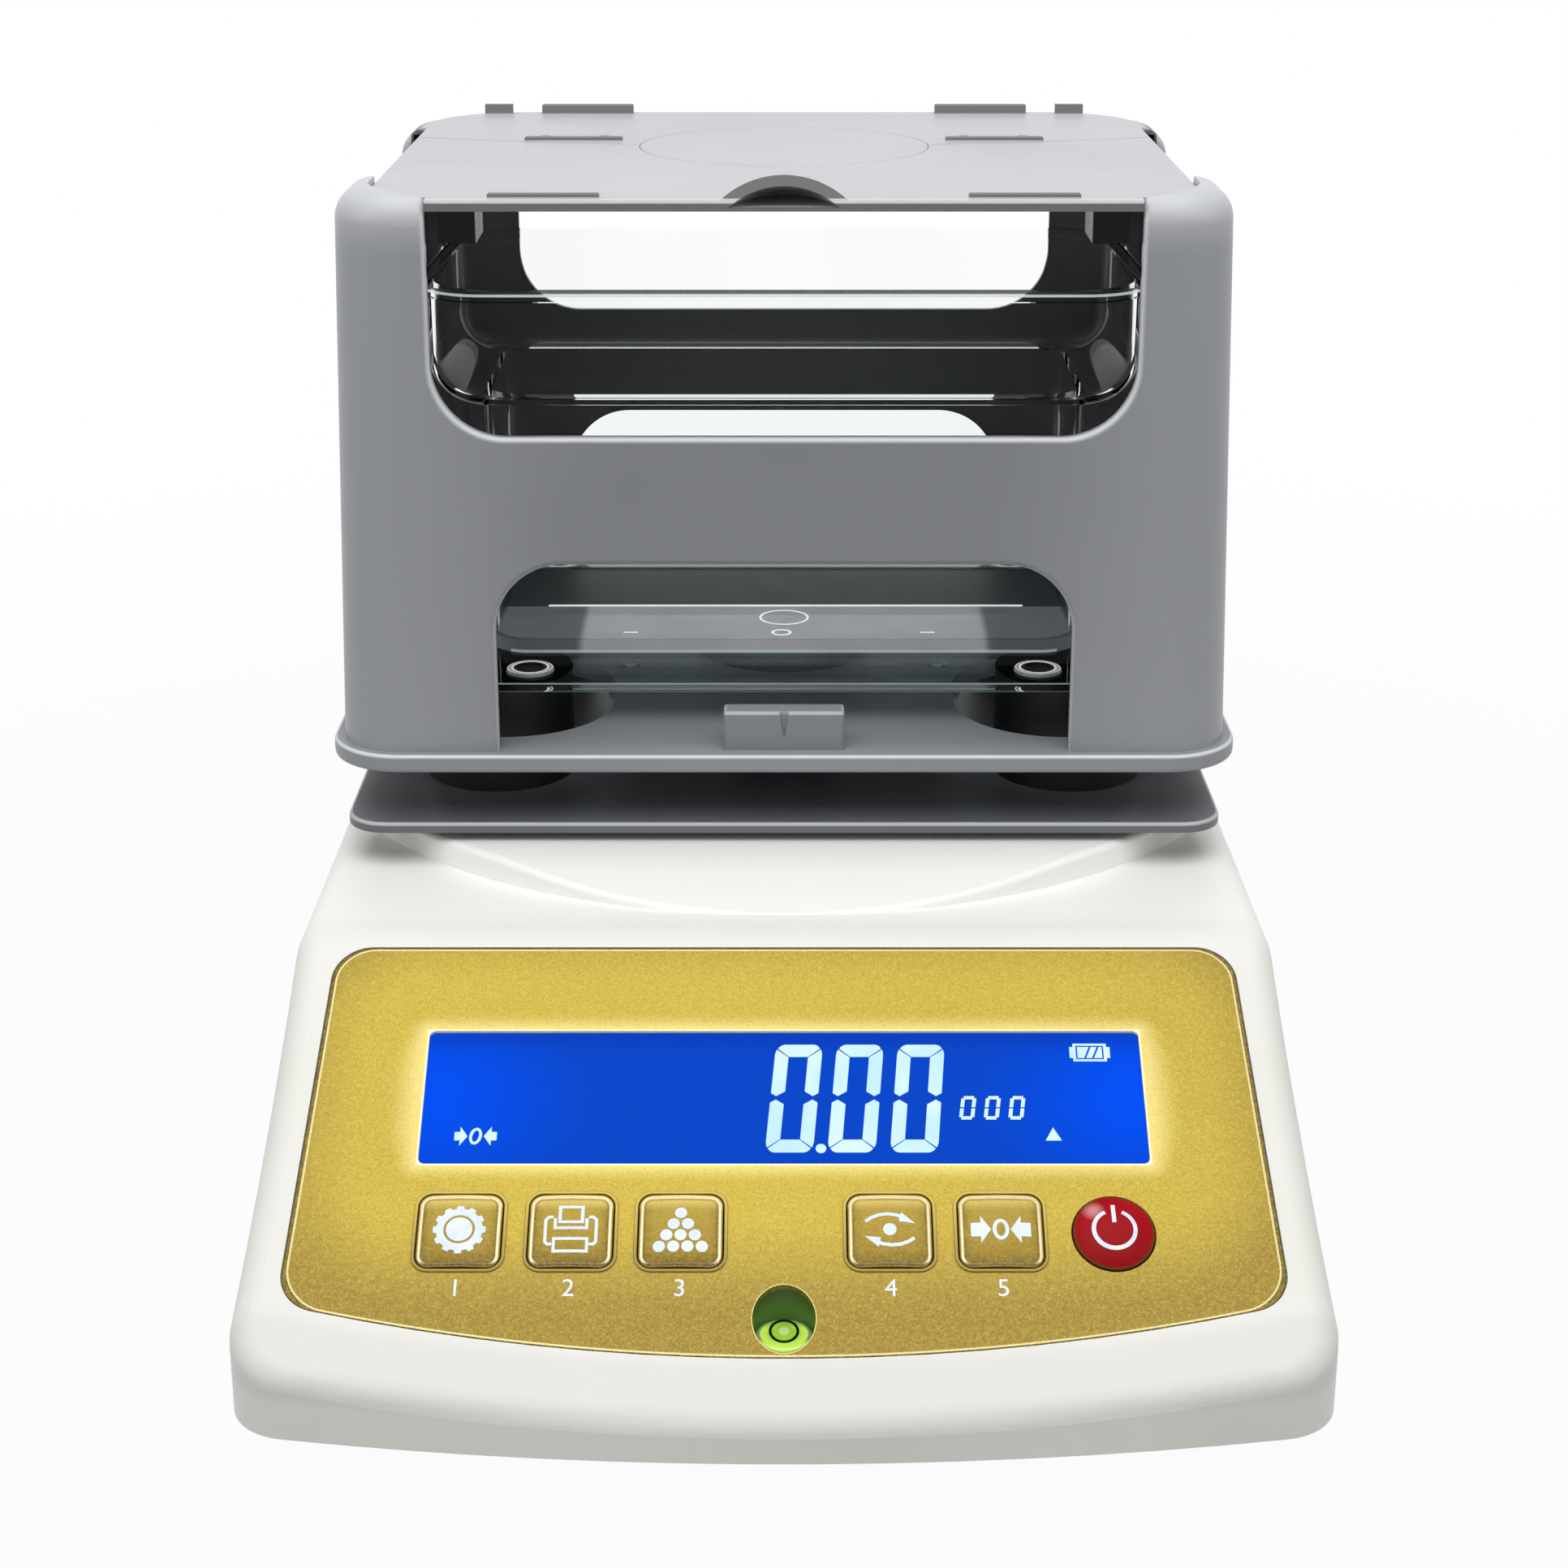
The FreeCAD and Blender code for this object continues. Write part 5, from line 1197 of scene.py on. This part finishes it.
# %% Segments of one figure
def figure_bars(width, height, thick, lit):
    """The outlines of the lit bars of one seven-segment figure."""
    mid, w, h, t = height / 2, width, height, thick
    top = [(0.5, h - 0.95), (0.95, h - 0.35), (1.7, h), (w - 1.7, h), (w - 0.95, h - 0.35),
           (w - 0.5, h - 0.95), (w - t, h - t), (t, h - t)]
    high = [(0.28, h - 1.15), (t - 0.12, h - t - 0.12), (t - 0.12, mid + 1.5), (1.1, mid + 0.4),
            (0, mid + 1.1), (0, h - 2.2)]
    middle = [(1.3, mid), (t, mid + 1.15), (w - t, mid + 1.15), (w - 1.3, mid), (w - t, mid - 1.15),
              (t, mid - 1.15)]
    across = {"a": top, "f": high, "g": middle, "b": [(w - x, s) for x, s in high]}
    across["e"] = [(x, h - s) for x, s in high]
    across["c"] = [(w - x, h - s) for x, s in high]
    across["d"] = [(x, h - s) for x, s in top]
    return [across[bar] for bar in lit]


def small_bars(width, height, thick):
    """Six plain bars with a hair line between them."""
    w, h, t, mid = width, height, thick, height / 2
    flat = rectangle(t * 0.6, w - t * 0.6, 0, t)
    upright = rectangle(0, t, t * 0.7, mid - 0.15)
    bars = [flat, [(x, s + h - t) for x, s in flat]]
    for x0 in (0, w - t):
        bars += [[(x + x0, s + s0) for x, s in upright] for s0 in (0, mid - 0.15 - t * 0.7 + 0.3)]
    return bars


def figure_mesh(name, bars, slant, thickness):
    """The bars cut from thin sheet and slanted, as one mesh."""
    joined = bmesh.new()
    for bar in bars:
        plate = cut_sheet([[(x + s * slant, s) for x, s in bar]], thickness)
        bmesh.ops.recalc_face_normals(plate, faces=plate.faces)
        part = bpy.data.meshes.new("bar")
        plate.to_mesh(part)
        joined.from_mesh(part)
        bpy.data.meshes.remove(part)
    mesh = bpy.data.meshes.new(name)
    joined.to_mesh(mesh)
    return mesh


segment_light = Finish("segment light", Roughness=0.5, Specular_IOR_Level=0.0, Emission_Strength=1.0)
wash = segment_light.noise(70, 2.0)
segment_light.paint(Emission_Color=segment_light.mixed(wash.fade(0.3, 0.7), ink("c9ecf6"), ink("dff6fb")))
segment_light.paint(Base_Color=segment_light.mixed(wash, ink("1a3340"), ink("20404e")))
nought_mesh = figure_mesh("nought", figure_bars(9.5, 25.0, 2.9, "abcdef"), 0.088, 0.03)
print("faces of one nought:", len(nought_mesh.polygons))

# %% A tree that repeats a figure along a line
line, line_tree, size = geometry_tree("row of figures", {
    "Count": WHOLE, "Pitch": FLOAT, "Figure": "NodeSocketObject", "Finish": STUFF})
step = line_tree.node("ShaderNodeCombineXYZ", {}, {"X": size["Pitch"]})
stops = line_tree.node("GeometryNodeMeshLine", {}, {"Count": size["Count"], "Offset": step}, "Mesh")
figure = line_tree.node("GeometryNodeObjectInfo", {}, {"Object": size["Figure"]}, "Geometry")
close_tree(line, line_tree, line_tree.node("GeometryNodeInstanceOnPoints", {}, {
    "Points": stops, "Instance": figure}))


def lit_row(name, mesh, count, pitch, start):
    """Figures in the display, laid on the blue panel under the lens."""
    model = bpy.data.objects.new("figure_model", mesh)
    scene.collection.objects.link(model)
    row = grow(line, {"Count": count, "Pitch": pitch, "Figure": model, "Finish": segment_light.material})
    bpy.data.objects.remove(model)
    row.name = name
    for v in row.vertices:
        v.co = panel_point(start[0] + v.co.x, start[1] + v.co.y, GLASS + v.co.z)
    return keep(name, row, None, "balance")


lit_row("readout_figures", nought_mesh, 3, 12.35, (-3.8, 11.9))
small_nought = figure_mesh("small_nought", small_bars(3.0, 5.4, 0.75), 0.14, 0.03)
lit_row("readout_small_figures", small_nought, 3, 4.9, (34.8, 19.4))
print("figures lit")

# %% [markdown]
# The rest of the display: the decimal point, a battery sign with three charge bars, a nought between
# two arrows for zero, and a small triangle for a steady reading.

# %% Small signs in the display
def lit_sign(name, shapes, centre):
    """A lit sign under the lens."""
    return lay_sign(name, shapes, centre, GLASS, 0.03, segment_light, "balance")


lit_sign("readout_point", [[circle(1.05)]], (7.3, 12.8))
battery_edge = [(-3.4, -1.3), (-4.1, -1.3), (-4.1, 1.3), (-3.4, 1.3), (-3.4, 2.1), (3.4, 2.1),
                (3.4, 1.3), (4.1, 1.3), (4.1, -1.3), (3.4, -1.3), (3.4, -2.1), (-3.4, -2.1)]
battery_bar = [(-2.5, -1.3), (-1.2, -1.3), (-0.1, 1.3), (-2.5, 1.3)]
battery_middle = [(-0.8, -1.3), (0.4, -1.3), (1.5, 1.3), (0.3, 1.3)]
battery_last = [(0.8, -1.3), (2.5, -1.3), (2.5, 1.3), (1.9, 1.3)]
lit_sign("readout_battery", [[battery_edge, rectangle(-2.8, 2.8, -1.6, 1.6)], [battery_bar],
                             [battery_middle], [battery_last]], (61.9, 35.05))
small_arrow = arrow(-4.2, -3.1, -1.6, 0.95, 2.15)
small_oval = [(x * 1.25 + s * 0.2, s * 1.9) for x, s in circle(1.0)]
small_hole = [(x * 0.65 + s * 0.2, s * 1.3) for x, s in circle(1.0)]
lit_sign("readout_zero", [[small_arrow], [mirrored(small_arrow)], [small_oval, small_hole]], (-61.1, 15.6))
lit_sign("readout_steady", [[[(-1.6, -1.4), (1.6, -1.4), (0, 1.6)]]], (53.4, 16.0))
print("small signs lit")

# %% [markdown]
# The bullseye level has a black ring printed on its glass, with the bubble resting in the middle.
# Both are drawn out a little towards the back, as the domed glass shows them.

# %% Level ring and bubble
LEVEL_DRAWN_OUT = 1.42
LEVEL_SET_BACK = 0.9
black_ink = moulded("black ring ink", "060a05", "0c110b", 0.4, 0.35, 0.1, Specular_IOR_Level=0.1)
bubble_clear = Finish("air bubble", Roughness=0.05, Coat_Weight=1.0)
bubble_cloud = bubble_clear.noise(700, 2.0)
bubble_clear.paint(Base_Color=bubble_clear.mixed(bubble_cloud, ink("d9ecb4"), ink("c2e08c")))


def sheet_mesh(name, outlines, thickness):
    """A flat plate with these outlines, as a mesh in millimetres."""
    plate = cut_sheet(outlines, thickness)
    bmesh.ops.recalc_face_normals(plate, faces=plate.faces)
    mesh = bpy.data.meshes.new(name)
    plate.to_mesh(mesh)
    return mesh


def on_level(name, outlines, finish):
    """Lay a thin plate on top of the vial."""
    mesh = sheet_mesh(name, outlines, 0.06)
    glass = Vector((vial_middle.x, vial_middle.y, vial_high.z - 0.02 * MM))
    for v in mesh.vertices:
        v.co = glass + Vector((v.co.x, v.co.y * LEVEL_DRAWN_OUT + LEVEL_SET_BACK, v.co.z)) * MM
    return keep(name, mesh, finish, "balance")


on_level("level_ring", [circle(2.9, count=48), circle(2.35, count=48)], black_ink)
on_level("level_bubble", [circle(1.0, count=48)], bubble_clear)
print("level dressed")

# %% [markdown]
# The tank's floor carries a few moulding marks: a wide ring, a small ring, two short dashes, and a
# thin rib behind them that catches the light. All of them glow as painted light. They are cut from sheet
# too, but lie flat, so their places are plain X and Y. They ride on the tank, because it can be lifted
# out.

# %% Marks on the tank's floor
# The marks glow: painted light.
glowing_floor_mark = Finish("floor mark", Roughness=0.25, Emission_Strength=0.8)
mark_cloud = glowing_floor_mark.noise(500, 2.0)
glowing_floor_mark.paint(Base_Color=glowing_floor_mark.mixed(mark_cloud, ink("dfe4e4"), ink("c4cccc")))
glowing_floor_mark.paint(Emission_Color=glowing_floor_mark.mixed(mark_cloud, ink("dfe4e4"), ink("b4bcbc")))


def on_tank_floor(name, outlines, centre, thickness=0.08):
    """Lay a thin plate on the tank's floor. centre is its X and Y in millimetres."""
    mesh = sheet_mesh(name, outlines, thickness)
    for v in mesh.vertices:
        v.co = Vector((centre[0], centre[1], TANK_FLOOR / MM)) * MM + v.co * MM
    return keep(name, mesh, glowing_floor_mark, "tank")


on_tank_floor("tank_wide_ring", [circle(5.9, count=48), circle(5.35, count=48)], (0, 48.2))
on_tank_floor("tank_small_ring", [circle(2.4), circle(1.75)], (-0.6, 36.3))
for side, across in (("left", -35.8), ("right", 33.5)):
    on_tank_floor(f"tank_dash_{side}", [rectangle(-1.7, 1.7, -0.35, 0.35)], (across, 36.3))
on_tank_floor("tank_rib", [rectangle(-57.0, 57.0, 0, 0.55)], (0.4, FROST_BACK / MM), 0.3)
print("tank marks laid")

# %% [markdown]
# The photograph's background is white and its light is soft and even. A large lamp overhead lights
# the sloping panel, two at the sides shape the tower, and one in front lifts the shadows. The white
# of the background is only for the camera and for reflections: rays that light the model get less.

# %% Floor, world and lamps
def studio_floor():
    """A wide pale sheet under the part: white to the camera, plain grey to the light."""
    sheet = bpy.data.meshes.new("studio_floor")
    half = 6.0
    corners = [(x, y, 0) for x, y in rectangle(-half, half, -half, half)]
    sheet.from_pydata(corners, [], [(0, 1, 2, 3)])
    floor = bpy.data.objects.new("studio_floor", sheet)
    scene.collection.objects.link(floor)
    made = Finish("studio floor", Base_Color=ink("a4a4a4"), Roughness=0.9)
    seen = made.node("ShaderNodeLightPath", output="Is Camera Ray")
    seen = seen.at_least(made.node("ShaderNodeLightPath", output="Is Glossy Ray"))
    seen = seen.at_least(made.node("ShaderNodeLightPath", output="Is Transmission Ray"))
    x, y, _ = made.axes()
    far = (x * x + y * y).root().fade(0.25, 0.7)
    white = made.node("ShaderNodeEmission", {}, {"Color": ink("ffffff"), "Strength": 1.0})
    lit = Value(made, made.shader.outputs[0])
    blended = made.node("ShaderNodeMixShader", {}, {0: seen * (0.96 + far * 0.04), 1: lit, 2: white})
    made.node_tree.links.new(blended.socket, made.result.inputs["Surface"])
    sheet.materials.append(made.material)


def studio_world():
    """White for the camera and for reflections, and a quarter of that as light."""
    world = bpy.data.worlds.new("studio")
    scene.world = world
    world.use_nodes = True
    made = Tree(world.node_tree)
    seen = made.node("ShaderNodeLightPath", output="Is Camera Ray")
    seen = seen.at_least(made.node("ShaderNodeLightPath", output="Is Glossy Ray"))
    seen = seen.at_least(made.node("ShaderNodeLightPath", output="Is Transmission Ray"))
    backdrop = world.node_tree.nodes["Background"]
    backdrop.inputs["Color"].default_value = ink("ffffff")
    made.feed(backdrop.inputs["Strength"], 0.25 + seen * 0.75)


def soft_lamp(name, place, aim, size, watts):
    """A rectangular area lamp at a place, turned to face another."""
    data = bpy.data.lights.new(name, "AREA")
    data.shape = "RECTANGLE"
    data.size, data.size_y = size
    data.energy = watts
    lamp = bpy.data.objects.new(name, data)
    scene.collection.objects.link(lamp)
    lamp.location = place
    lamp.rotation_euler = (Vector(aim) - Vector(place)).to_track_quat("-Z", "Y").to_euler()


studio_floor()
studio_world()
soft_lamp("top_lamp", (0, -0.4, 1.25), (0, -0.05, 0.08), (1.5, 1.3), 14.5)
soft_lamp("left_lamp", (-1.2, -0.5, 0.7), (0, 0, 0.1), (0.9, 0.9), 3.2)
soft_lamp("right_lamp", (1.2, -0.5, 0.7), (0, 0, 0.1), (0.9, 0.9), 2.6)
soft_lamp("front_lamp", (0, -1.5, 0.75), (0, 0, 0.1), (1.0, 0.7), 0.5)
print("studio lit")

# %% [markdown]
# The camera was solved from the photograph: where its edges meet tells its height, tilt and lens.

# %% Camera
lens = bpy.data.cameras.new("photo_camera")
lens.lens = 63.76
lens.sensor_width = 36.0
lens.shift_y = -0.05
lens.clip_start = 0.01
eye = bpy.data.objects.new("photo_camera", lens)
scene.collection.objects.link(eye)
eye.location = (0, -0.5831, 0.3044)
eye.rotation_euler = (math.radians(71.02), 0, 0)
scene.camera = eye
scene.view_settings.view_transform = "Standard"
print("camera set")

# %% Finish
print("scene dressed")
